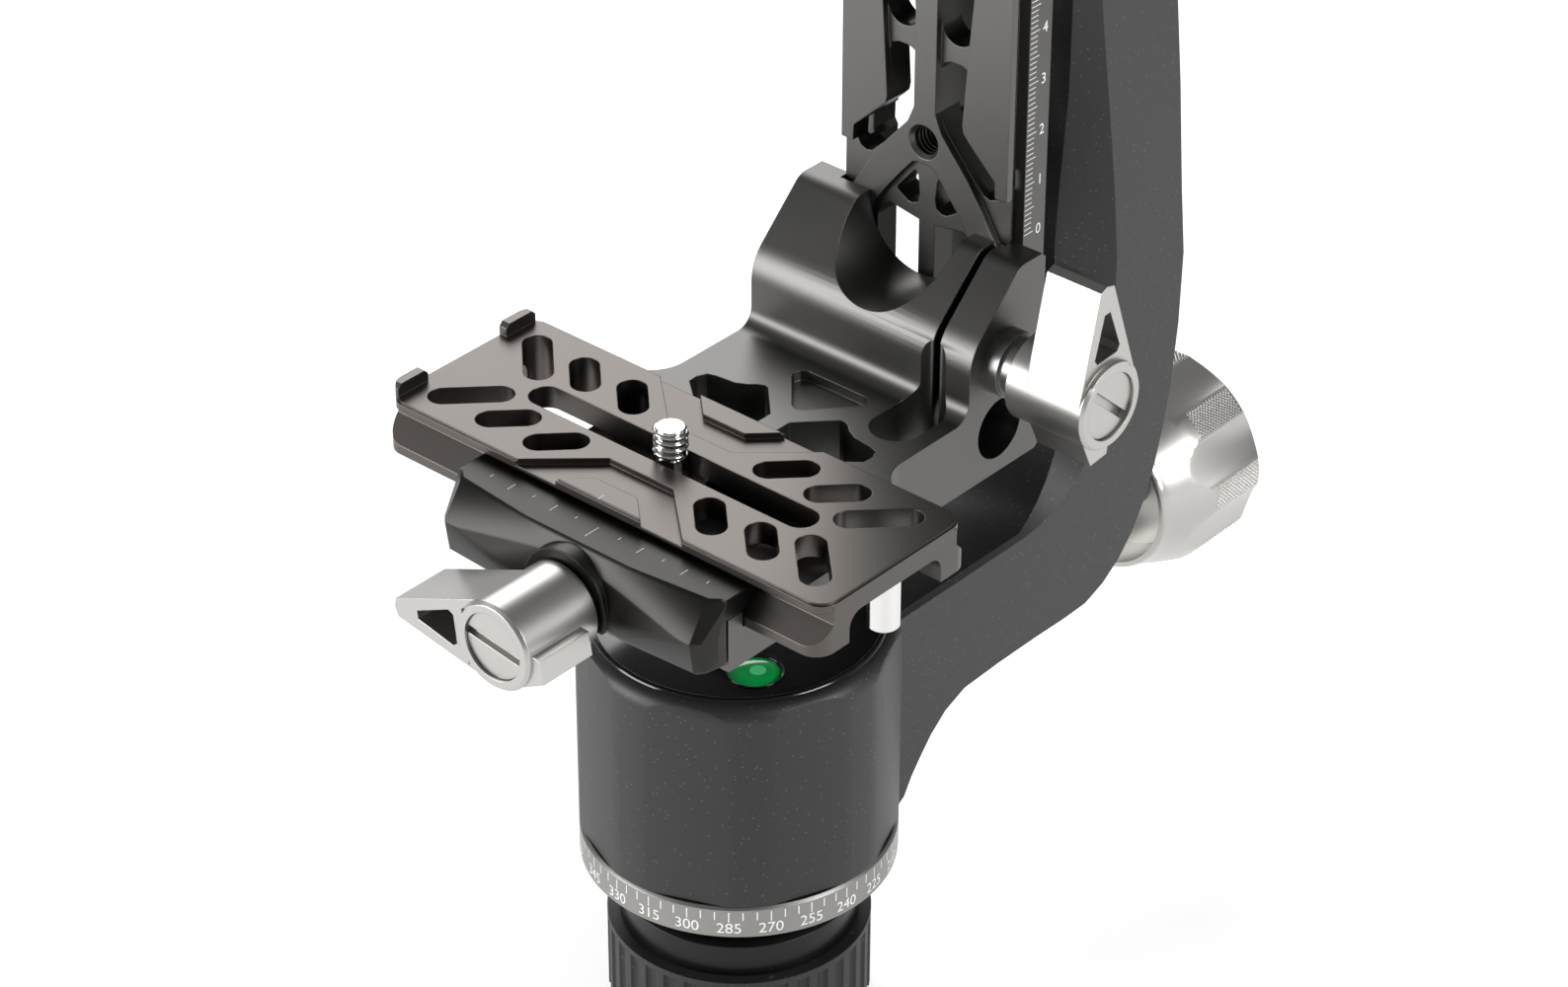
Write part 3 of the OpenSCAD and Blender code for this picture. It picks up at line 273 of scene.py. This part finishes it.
def numeral(words, height):
    """The flat mesh of a printed number of the given height, centred on its own middle."""
    curve = bpy.data.curves.new(words, "FONT")
    curve.body = words
    holder = bpy.data.objects.new(words, curve)
    scene.collection.objects.link(holder)
    graph = bpy.context.evaluated_depsgraph_get()
    mesh = bpy.data.meshes.new_from_object(holder.evaluated_get(graph))
    bpy.data.objects.remove(holder)
    across = [v.co.x for v in mesh.vertices]
    along = [v.co.y for v in mesh.vertices]
    scale = height / (max(along) - min(along))
    middle = Vector(((max(across) + min(across)) / 2, (max(along) + min(along)) / 2, 0))
    for v in mesh.vertices:
        v.co = (v.co - middle) * scale
    return mesh


def gathered(name, body, material, parts, flip=False):
    """One piece from (mesh, rule) pairs, where a rule takes a point to its place on the object.

    Its faces are turned over where the rules would leave them facing inwards.
    """
    work = bmesh.new()
    for mesh, rule in parts:
        first = len(work.verts)
        work.from_mesh(mesh)
        work.verts.ensure_lookup_table()
        for v in work.verts[first:]:
            v.co = rule(v.co)
    if flip:
        bmesh.ops.reverse_faces(work, faces=work.faces)
    whole = bpy.data.meshes.new(name)
    work.to_mesh(whole)
    work.free()
    whole.materials.clear()
    whole.materials.append(material)
    for face in whole.polygons:
        face.material_index = 0
    piece = bpy.data.objects.new(name, whole)
    scene.collection.objects.link(piece)
    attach(piece, body)
    return piece


# ticks along X that stand on the line y = 0, the first and every so many after it a long one
ticks, sizes = growing("scale ticks", Count=10.0, Step=1 * mm, Short=1 * mm, Long=2 * mm,
                       Every=5.0, Width=0.2 * mm)
spacing = add(ticks, "ShaderNodeCombineXYZ", {"X": sizes["Step"]})
line = add(ticks, "GeometryNodeMeshLine", {"Count": sizes["Count"],
                                           "Offset": spacing.outputs["Vector"]})
# each tick is one stroke of length 1 with its foot on the line, stretched to its own length
stroke = add(ticks, "GeometryNodeMeshGrid", {"Size X": sizes["Width"], "Size Y": 1.0,
                                             "Vertices X": 2, "Vertices Y": 2})
stood = add(ticks, "GeometryNodeTransform", {"Geometry": stroke.outputs["Mesh"],
                                             "Translation": (0.0, 0.5, 0.0)})
order = add(ticks, "GeometryNodeInputIndex")
rest = add(ticks, "ShaderNodeMath", {0: order.outputs["Index"], 1: sizes["Every"]},
           operation="MODULO")
is_long = add(ticks, "ShaderNodeMath", {0: rest.outputs["Value"], 1: 0.5},
              operation="LESS_THAN")
length = add(ticks, "GeometryNodeSwitch", {"Switch": is_long.outputs["Value"],
                                           "False": sizes["Short"], "True": sizes["Long"]},
             input_type="FLOAT")
reach = add(ticks, "ShaderNodeCombineXYZ", {"X": 1.0, "Y": length.outputs["Output"], "Z": 1.0})
row = add(ticks, "GeometryNodeInstanceOnPoints", {"Points": line.outputs["Mesh"],
                                                  "Instance": stood.outputs["Geometry"],
                                                  "Scale": reach.outputs["Vector"]})
closing(ticks, row.outputs["Instances"], white_ink)

ring_low, ring_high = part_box("degree_ring")
ring_r = (ring_high[0] - ring_low[0]) / 2 + 0.02 * mm  # the print stands a hair off the ring
zero_at = 232.9  # where the ring's zero is, in degrees round the base
tick_every, number_every = 5, 15  # degrees
tick_top = ring_high[2] - 0.9 * mm
number_middle = tick_top - 3.55 * mm


def round_ring(start, height, down=False):
    """Wraps a flat point round the ring from an angle in degrees."""
    def rule(point):
        turn = math.radians(start) + point.x / ring_r
        rise = -point.y if down else point.y
        return Vector((ring_r * math.cos(turn), ring_r * math.sin(turn), height + rise))
    return rule


degree_row = grown(ticks, Count=360 // tick_every, Step=ring_r * math.radians(tick_every),
                   Short=1.8 * mm, Long=2.2 * mm, Every=number_every // tick_every,
                   Width=0.22 * mm)
gathered("degree_ticks", "base", white_ink,
         [(degree_row, round_ring(zero_at, tick_top, down=True))], flip=True)
gathered("degree_numbers", "base", white_ink,
         [(numeral(str(label), 2.2 * mm), round_ring(zero_at - label, number_middle))
          for label in range(0, 360, number_every)])

# ---------- Hub and cranked arm ----------
# One aluminium casting: the faceted hub round the pan bearings and the crank up to the tilt axis.
# It is powder coated, which gives a fine grained black with tiny pale specks and soft edges.

coat_black, speck_grey = "#19191a", "#6a6a6a"
powder = finish("black powder coat on cast aluminium", coat_black, 0.0, 0.46)
tree = powder.node_tree
where = add(tree, "ShaderNodeTexCoord").outputs["Object"]
# orange peel in waves of up to 1.2 mm, and a pale speck 0.2 mm across in each 1.1 mm or so
peel_size, speck_gap = 1.2 * mm, 1.1 * mm
peel = add(tree, "ShaderNodeTexNoise", {"Vector": where, "Scale": 1 / peel_size, "Detail": 2.0})
grain = add(tree, "ShaderNodeBump", {"Height": peel.outputs["Fac"], "Strength": 0.25,
                                     "Distance": 0.06 * mm, "Normal": broken_edges(powder)})
specks = add(tree, "ShaderNodeTexVoronoi", {"Vector": where, "Scale": 1 / speck_gap})
speck = add(tree, "ShaderNodeMapRange", {"Value": specks.outputs["Distance"], "From Min": 0.05,
                                         "From Max": 0.13, "To Min": 1.0, "To Max": 0.0})
colour = add(tree, "ShaderNodeMix", {mix_amount: speck.outputs["Result"],
                                     mix_from: linear(coat_black),
                                     mix_to: linear(speck_grey)}, data_type="RGBA")
wire(powder, "Base Color", colour.outputs[mix_result])
wire(powder, "Normal", grain.outputs["Normal"])
shaded("main_arm", powder)
shaded("tilt_cover", powder)


def dot(middle, across, up, radius, sides=20):
    """A flat printed disc on a face, given by two directions in the face."""
    mesh = bpy.data.meshes.new("printed dot")
    turns = [math.tau * i / sides for i in range(sides)]
    points = [Vector(middle) + radius * (math.cos(t) * Vector(across) + math.sin(t) * Vector(up))
              for t in turns]
    mesh.from_pydata(points, [], [list(range(sides))])
    return mesh


# the index dot on the hub's front face that the degrees are read against
proud = 0.03 * mm  # how far the print on a flat face stands off it
hub_front, dot_height = -28.5 * mm, 45 * mm
index = dot((0.0, hub_front - proud, dot_height), (1, 0, 0), (0, 0, 1), 0.6 * mm)
gathered("index_dot", "arm", white_ink, [(index, Vector)])

# ---------- Hub cap ----------
# A gloss black moulded cap closes the hub. Its thin raised rim catches the light all round.


def paint_node(material, *names):
    """Gives CAD nodes a material without changing their mesh."""
    for name in names:
        for part in frame["nodes"][name].material_slots:
            part.material = material


gloss = finish("gloss black ABS", "#0b0b0c", 0.0, 0.12)
shaded("hub_cap", gloss, smooth=50)
paint_node(gloss, "bubble_rim")

# ---------- Spirit level ----------
# A green liquid in a round acrylic vial sits in the cap. The acrylic is clear and very smooth, so
# it shines, and shows a dark printed ring with the paler air bubble inside it.

vial = finish("green tinted acrylic vial", "#12a04f", 0.0, 0.08)
paint_node(vial, "bubble_vial")

ring_ink = finish("black printed ring", "#0c1a10", 0.0, 0.3, edge=0.0)
air = finish("air bubble under acrylic", "#5fd98c", 0.0, 0.05, edge=0.0)
vial_low, vial_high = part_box("bubble_vial")
vial_x = (vial_low[0] + vial_high[0]) / 2
vial_y = (vial_low[1] + vial_high[1]) / 2

# a band swept round a circle
band, sizes = growing("printed ring", Radius=2.2 * mm, Width=0.25 * mm)
circle = add(band, "GeometryNodeCurvePrimitiveCircle", {"Resolution": 48,
                                                        "Radius": sizes["Radius"]})
flat = add(band, "ShaderNodeCombineXYZ", {"Y": sizes["Width"]})
stripe = add(band, "GeometryNodeCurvePrimitiveLine", {"End": flat.outputs["Vector"]})
swept = add(band, "GeometryNodeCurveToMesh", {"Curve": circle.outputs["Curve"],
                                              "Profile Curve": stripe.outputs["Curve"]})
closing(band, swept.outputs["Mesh"], ring_ink)


def on_vial(height):
    """Puts a flat point over the middle of the vial, so far above its top."""
    def rule(point):
        return Vector((vial_x + point.x, vial_y + point.y, vial_high[2] + height))
    return rule


gathered("level_ring", "arm", ring_ink,
         [(grown(band, Radius=2.3 * mm, Width=0.3 * mm), on_vial(proud))])
# the bubble has drifted a little off the middle, and lies just under the ring
drift = (0.4 * mm, 0.3 * mm, 0)
gathered("level_bubble", "arm", air,
         [(dot(drift, (1, 0, 0), (0, 1, 0), 1.5 * mm), on_vial(0.02 * mm))])

# ---------- Bearings, spindle and fasteners inside ----------
# Steel shafts, screws, washers and nuts, machined to a half bright grey; balls and races that are
# polished like mirrors; a glide ring of white acetal, and brake parts of turned yellow brass.

machined = finish("machined steel", "#8c8b8a", 1.0, 0.32)
paint_node(machined, "pan_spindle", "spindle_screws", "spindle_washer", "spindle_nut",
           "cover_screws", "pan_knob_stud", "tilt_knob_stud", "tilt_shaft", "rail_screws",
           "shaft_washer", "shaft_nut", "rail_stop_screws", "jaw_guide_pins", "cheek_pin",
           "bracket_lever_stud", "clamp_lever_stud", "bracket_collar", "clamp_washer")
polished = finish("polished stainless steel", "#d9d8d6", 1.0, 0.1)
paint_node(polished, "pan_inner_races", "pan_outer_races", "tilt_inner_races",
           "tilt_outer_races", "pan_balls", "tilt_balls")
acetal = finish("white acetal, turned", "#dcdad2", 0.0, 0.4)
paint_node(acetal, "glide_ring")
brass = finish("turned brass", "#b9924f", 1.0, 0.3)
paint_node(brass, "pan_brake_shoe", "tilt_brake_disc")

# The camera screw's washer is flush with the plate above it. Only this visible copy is lowered a
# hair, so that it doesn't lie in one plane with the plate. The CAD washer stays flush.
washer_gap = 0.05 * mm
washer = shaded("screw_washer", machined)
for v in washer.data.vertices:
    v.co.z -= washer_gap

# ---------- Lock knobs ----------
# Turned aluminium knobs with eight scooped flutes, blasted and clear anodised to a soft silver.
# The lands between the flutes are knurled near the knob's +Y end, so that the fingers hold.

satin = blasted("clear anodised aluminium, blasted", "#b4b2af", 0.34,
                cell=1.0, strength=0.15, depth=0.04)
for knob in ("pan_knob", "tilt_knob"):
    shaded(knob, satin)
paint_node(gloss, "pan_knob_cap", "tilt_knob_cap")

# four sided points a pitch apart on a flat strip, with a second net of them between the first
knurl, sizes = growing("knurled strip", Length=14 * mm, Width=5.4 * mm, Pitch=0.9 * mm,
                       Height=0.3 * mm)
along = add(knurl, "ShaderNodeMath", {0: sizes["Length"], 1: sizes["Pitch"]},
            operation="DIVIDE")
across = add(knurl, "ShaderNodeMath", {0: sizes["Width"], 1: sizes["Pitch"]},
             operation="DIVIDE")
half = add(knurl, "ShaderNodeMath", {0: sizes["Pitch"], 1: 0.5}, operation="MULTIPLY")
spike = add(knurl, "GeometryNodeMeshCone", {"Vertices": 4, "Radius Bottom": half.outputs["Value"],
                                            "Radius Top": 0.0, "Depth": sizes["Height"]},
            fill_type="NONE")
whole = add(knurl, "GeometryNodeJoinGeometry")
# both nets are centred, so the one with a point fewer each way lies half a pitch off the other
for extra in (1.0, 0.0):
    counts = [add(knurl, "ShaderNodeMath", {0: many.outputs["Value"], 1: extra},
                  operation="ADD") for many in (along, across)]
    steps = [add(knurl, "ShaderNodeMath", {0: count.outputs["Value"], 1: 1.0},
                 operation="SUBTRACT") for count in counts]
    spans = [add(knurl, "ShaderNodeMath", {0: step.outputs["Value"], 1: sizes["Pitch"]},
                 operation="MULTIPLY") for step in steps]
    net = add(knurl, "GeometryNodeMeshGrid", {"Size X": spans[0].outputs["Value"],
                                              "Size Y": spans[1].outputs["Value"],
                                              "Vertices X": counts[0].outputs["Value"],
                                              "Vertices Y": counts[1].outputs["Value"]})
    put = add(knurl, "GeometryNodeInstanceOnPoints", {"Points": net.outputs["Mesh"],
                                                      "Instance": spike.outputs["Mesh"]})
    knurl.links.new(put.outputs["Instances"], whole.inputs["Geometry"])
closing(knurl, whole.outputs["Geometry"], satin)
strip = grown(knurl, Length=12.6 * mm, Width=5.4 * mm, Pitch=0.9 * mm, Height=0.34 * mm)


def round_knob(middle_y, axis_z, turn_to, radius):
    """Bends the flat strip round a knob: its X runs along the knob and its Y goes round it."""
    def rule(point):
        turn = math.radians(turn_to) - point.y / radius
        far = radius + point.z
        return Vector((far * math.cos(turn), middle_y + point.x, axis_z + far * math.sin(turn)))
    return rule


lands, first_land = 8, 48  # how many, and the middle of the first in degrees from +X
strip_back = 8.2 * mm  # from the knob's +Y end to the middle of the strip
sunk = 0.05 * mm  # the foot of the knurl lies this far inside the land
for knob, body in (("pan_knob", "pan_lock"), ("tilt_knob", "tilt_lock")):
    low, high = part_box(knob)
    strip_y, axis_z = high[1] - strip_back, (low[2] + high[2]) / 2
    foot_r = (high[2] - low[2]) / 2 - sunk
    gathered(knob + "_knurl", body, satin,
             [(strip, round_knob(strip_y, axis_z, first_land + 360 / lands * i, foot_r))
              for i in range(lands)])

# ---------- Swinging rail ----------
# Milled aluminium dovetail rail, blasted and anodised a dark grey that shines softly like metal.
# A millimetre scale is printed on its +X edge, with its zero at the level of the bracket.

dark_anodised = blasted("dark grey anodised aluminium, blasted", "#605f5d", 0.4,
                        cell=1.2, strength=0.1, depth=0.05)
shaded("swing_rail", dark_anodised, smooth=20)
paint_node(gloss, "pivot_cap")

rail_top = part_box("swing_rail")[1][2]
scale_zero = 147 * mm
scale_long = rail_top - scale_zero - 4 * mm
edge_x = 18.5 * mm + proud
tick_foot_y, number_y = 55.6 * mm, 59.6 * mm
number_step = 10  # millimetres from one number to the next


def on_rail_edge(point):
    """Puts a flat point on the rail's edge: X runs up the rail and Y across its edge."""
    return Vector((edge_x, tick_foot_y + point.y, scale_zero + point.x))


def number_at(count):
    """Puts a flat point of a number upright on the rail's edge, so many steps above the zero."""
    def rule(point):
        return Vector((edge_x, number_y + point.x, scale_zero + count * number_step * mm + point.y))
    return rule


rail_row = grown(ticks, Count=math.floor(scale_long / mm) + 1, Step=1 * mm, Short=1.9 * mm,
                 Long=2.5 * mm, Every=5, Width=0.16 * mm)
gathered("rail_ticks", "swing", white_ink, [(rail_row, on_rail_edge)], flip=True)
gathered("rail_numbers", "swing", white_ink,
         [(numeral(str(count), 2.05 * mm), number_at(count))
          for count in range(math.floor(scale_long / mm / number_step) + 1)])

# a thread as a ridge that winds up a spiral
thread, sizes = growing("thread ridge", Turns=5.0, Radius=3 * mm, Rise=5 * mm, Ridge=0.5 * mm)
spiral = add(thread, "GeometryNodeCurveSpiral", {"Resolution": 40, "Rotations": sizes["Turns"],
                                                 "Start Radius": sizes["Radius"],
                                                 "End Radius": sizes["Radius"],
                                                 "Height": sizes["Rise"]})
ridge = add(thread, "GeometryNodeCurvePrimitiveCircle", {"Resolution": 4,
                                                         "Radius": sizes["Ridge"]})
wound = add(thread, "GeometryNodeCurveToMesh", {"Curve": spiral.outputs["Curve"],
                                                "Profile Curve": ridge.outputs["Curve"],
                                                "Fill Caps": True})
closing(thread, wound.outputs["Mesh"], dark_anodised)

# the tapped hole in the rail, with a pitch of 1 mm
hole_front, hole_height, hole_turns = 51.3 * mm, 161.6 * mm, 8


def in_rail_hole(point):
    """Lays a thread that stands on Z along Y, into the rail's hole."""
    return Vector((point.x, hole_front + point.z, hole_height + point.y))


hole_thread = grown(thread, Turns=hole_turns, Radius=2.85 * mm, Rise=hole_turns * mm,
                    Ridge=0.5 * mm)
gathered("rail_hole_thread", "swing", dark_anodised,
         [(hole_thread, in_rail_hole)], flip=True)

# ---------- Lens bracket ----------
# Milled aluminium bracket with the saddle, the slit and the windows in its foot, blasted and
# anodised the same dark grey as the rail.

shaded("lens_bracket", dark_anodised, smooth=25)

# ---------- Bracket lever and clamp lever ----------
# Two equal levers, blasted and clear anodised, each held by a slotted screw in its end. They have
# the soft silver of the knobs.

for lever in ("bracket_lever", "clamp_lever"):
    shaded(lever, satin)
    shaded(lever + "_screw", satin)

# ---------- Clamp jaw ----------
# The jaw that the clamp lever pulls against the plate, milled and anodised darker than the bracket.
# A scale is printed on its top: short and long strokes, and a ringed zero stroke in the middle.

near_black = finish("near black anodised aluminium, blasted", "#353433", 1.0, 0.38, edge=0.4)
shaded("clamp_jaw", near_black, smooth=20)

jaw_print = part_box("clamp_jaw")[1][2] + proud
fine = 0.16 * mm  # the width of its lines


def strokes(count, step, long, width):
    """Some equal printed strokes in a row, a step apart."""
    return grown(ticks, Count=count, Step=step, Short=long, Long=long, Every=1, Width=width)


def on_jaw(left, foot):
    """Puts a flat point on the jaw's top, where X and Y of its place are in mm."""
    def rule(point):
        return Vector((left * mm + point.x, foot * mm + point.y, jaw_print))
    return rule


short_row = strokes(6, 10 * mm, 0.8 * mm, fine)
long_pair = strokes(2, 10 * mm, 2 * mm, fine)
zero_stroke = strokes(1, 10 * mm, 3.5 * mm, fine)
hoop = grown(band, Radius=0.95 * mm, Width=fine)
gathered("jaw_scale", "jaw", white_ink,
         [(short_row, on_jaw(-25, -36.2)), (long_pair, on_jaw(-20, -37.15)),
          (long_pair, on_jaw(10, -37.15)), (zero_stroke, on_jaw(0, -39.1)),
          (hoop, on_jaw(0, -37.34))])

# ---------- Camera plate ----------
# Milled plate, blasted and anodised in a warm gunmetal grey, with two steel stop pins below.
# A white index stroke is printed on the low island in front of its slot.

gunmetal = blasted("gunmetal anodised aluminium, blasted", "#5a5653", 0.36,
                   cell=1.2, strength=0.12, depth=0.05)
shaded("camera_plate", gunmetal, smooth=20)
paint_node(polished, "plate_stop_pins")

deck = 124.9 * mm
stroke_x, stroke_y = -3.3 * mm, -32.2 * mm


def on_deck(point):
    """Puts a flat point on the deck, where the index stroke has its foot."""
    return Vector((stroke_x + point.x, stroke_y + point.y, deck + proud))


gathered("plate_index", "plate", white_ink,
         [(strokes(1, 1 * mm, 1.6 * mm, 0.2 * mm), on_deck)])

# ---------- Camera screw ----------
# A plated steel screw with a 1/4 inch thread stands through the slot of the plate. It is polished,
# so each turn of the thread holds a bright line.

screw_x, screw_y = -3.3 * mm, -13.7 * mm
camera_screw = shaded("camera_screw", polished)

# the plain shank above the deck is drawn in to the foot of the thread
shank_foot = deck + 0.2 * mm
plain_from, drawn_in = 2.9 * mm, 0.13
for v in camera_screw.data.vertices:
    away = Vector((v.co.x - screw_x, v.co.y - screw_y, 0))
    if v.co.z > shank_foot and away.length > plain_from:
        v.co -= away * drawn_in

thread_pitch = 1.27 * mm
thread_foot = deck + 1 * mm
thread_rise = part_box("camera_screw")[1][2] - deck - 1.6 * mm


def round_screw(point):
    """Puts a thread that stands on Z round the camera screw."""
    return Vector((screw_x + point.x, screw_y + point.y, thread_foot + point.z))


screw_thread = grown(thread, Turns=thread_rise / thread_pitch, Radius=2.75 * mm,
                     Rise=thread_rise, Ridge=0.45 * mm)
gathered("camera_screw_thread", "camera_screw", polished,
         [(screw_thread, round_screw)])

# ---------- Studio ----------
# White paper on the floor, three soft lamps, and the camera where the photographer stood. The
# paper glows a little, so that it shows as white as the background behind it.

paper_half = 4  # metres from the middle to the paper's edge
floor_mesh = bpy.data.meshes.new("studio floor")
floor_mesh.from_pydata([(x * paper_half, y * paper_half, 0)
                        for x, y in ((-1, -1), (1, -1), (1, 1), (-1, 1))], [], [(0, 1, 2, 3)])
floor = bpy.data.objects.new("studio floor", floor_mesh)
scene.collection.objects.link(floor)
paper = finish("white studio paper", "#f4f4f4", 0.0, 0.9, edge=0.0,
               further={"Emission Color": linear("#ffffff"), "Emission Strength": 0.42})
floor_mesh.materials.append(paper)

# the camera sees a white background, and the pieces are lit by a grey one
world = bpy.data.worlds.new("studio")
scene.world = world
world.use_nodes = True
world.node_tree.nodes.clear()
tree = world.node_tree
rays = add(tree, "ShaderNodeLightPath")
seen = add(tree, "ShaderNodeMix", {mix_amount: rays.outputs["Is Camera Ray"],
                                   mix_from: linear("#8a8a8a"),
                                   mix_to: linear("#ffffff")}, data_type="RGBA")
room = add(tree, "ShaderNodeBackground", {"Color": seen.outputs[mix_result], "Strength": 1.0})
add(tree, "ShaderNodeOutputWorld", {"Surface": room.outputs["Background"]})

# each lamp's place and size in metres and its power in watts
aim = Vector((0.0, 0.0, 0.1))
for name, place, size, power in (("softbox behind left", (-1.1, 0.9, 1.0), 1.0, 13.0),
                                 ("softbox front left", (-0.75, -1.1, 0.3), 0.8, 18.0),
                                 ("strip right", (1.3, 0.2, 0.7), 0.6, 14.0)):
    lamp = bpy.data.lights.new(name, "AREA")
    lamp.size = size
    lamp.energy = power
    holder = bpy.data.objects.new(name, lamp)
    holder.location = place
    holder.rotation_euler = (aim - Vector(place)).to_track_quat("-Z", "Y").to_euler()
    scene.collection.objects.link(holder)

# the camera as it was fitted to the photo: where it stands, the way back from what it looks at,
# and its level and upward sides, which are then rolled by a small angle
lens = bpy.data.cameras.new("camera")
lens.sensor_width = 36.0
lens.lens = 105.35
lens.clip_start = 0.01
eye = Vector((0.44991, -0.50648, 0.54980))
back = Vector((0.55018, -0.63445, 0.54293))
level = Vector((0.75550, 0.65515, 0.0))
upward = Vector((-0.35570, 0.41018, 0.83978))
roll = math.radians(0.192)
right = math.cos(roll) * level + math.sin(roll) * upward
top = -math.sin(roll) * level + math.cos(roll) * upward
camera = bpy.data.objects.new("camera", lens)
camera.matrix_world = Matrix((
    (right.x, top.x, back.x, eye.x),
    (right.y, top.y, back.y, eye.y),
    (right.z, top.z, back.z, eye.z),
    (0, 0, 0, 1)))
scene.collection.objects.link(camera)
scene.camera = camera
scene.view_settings.view_transform = "Standard"
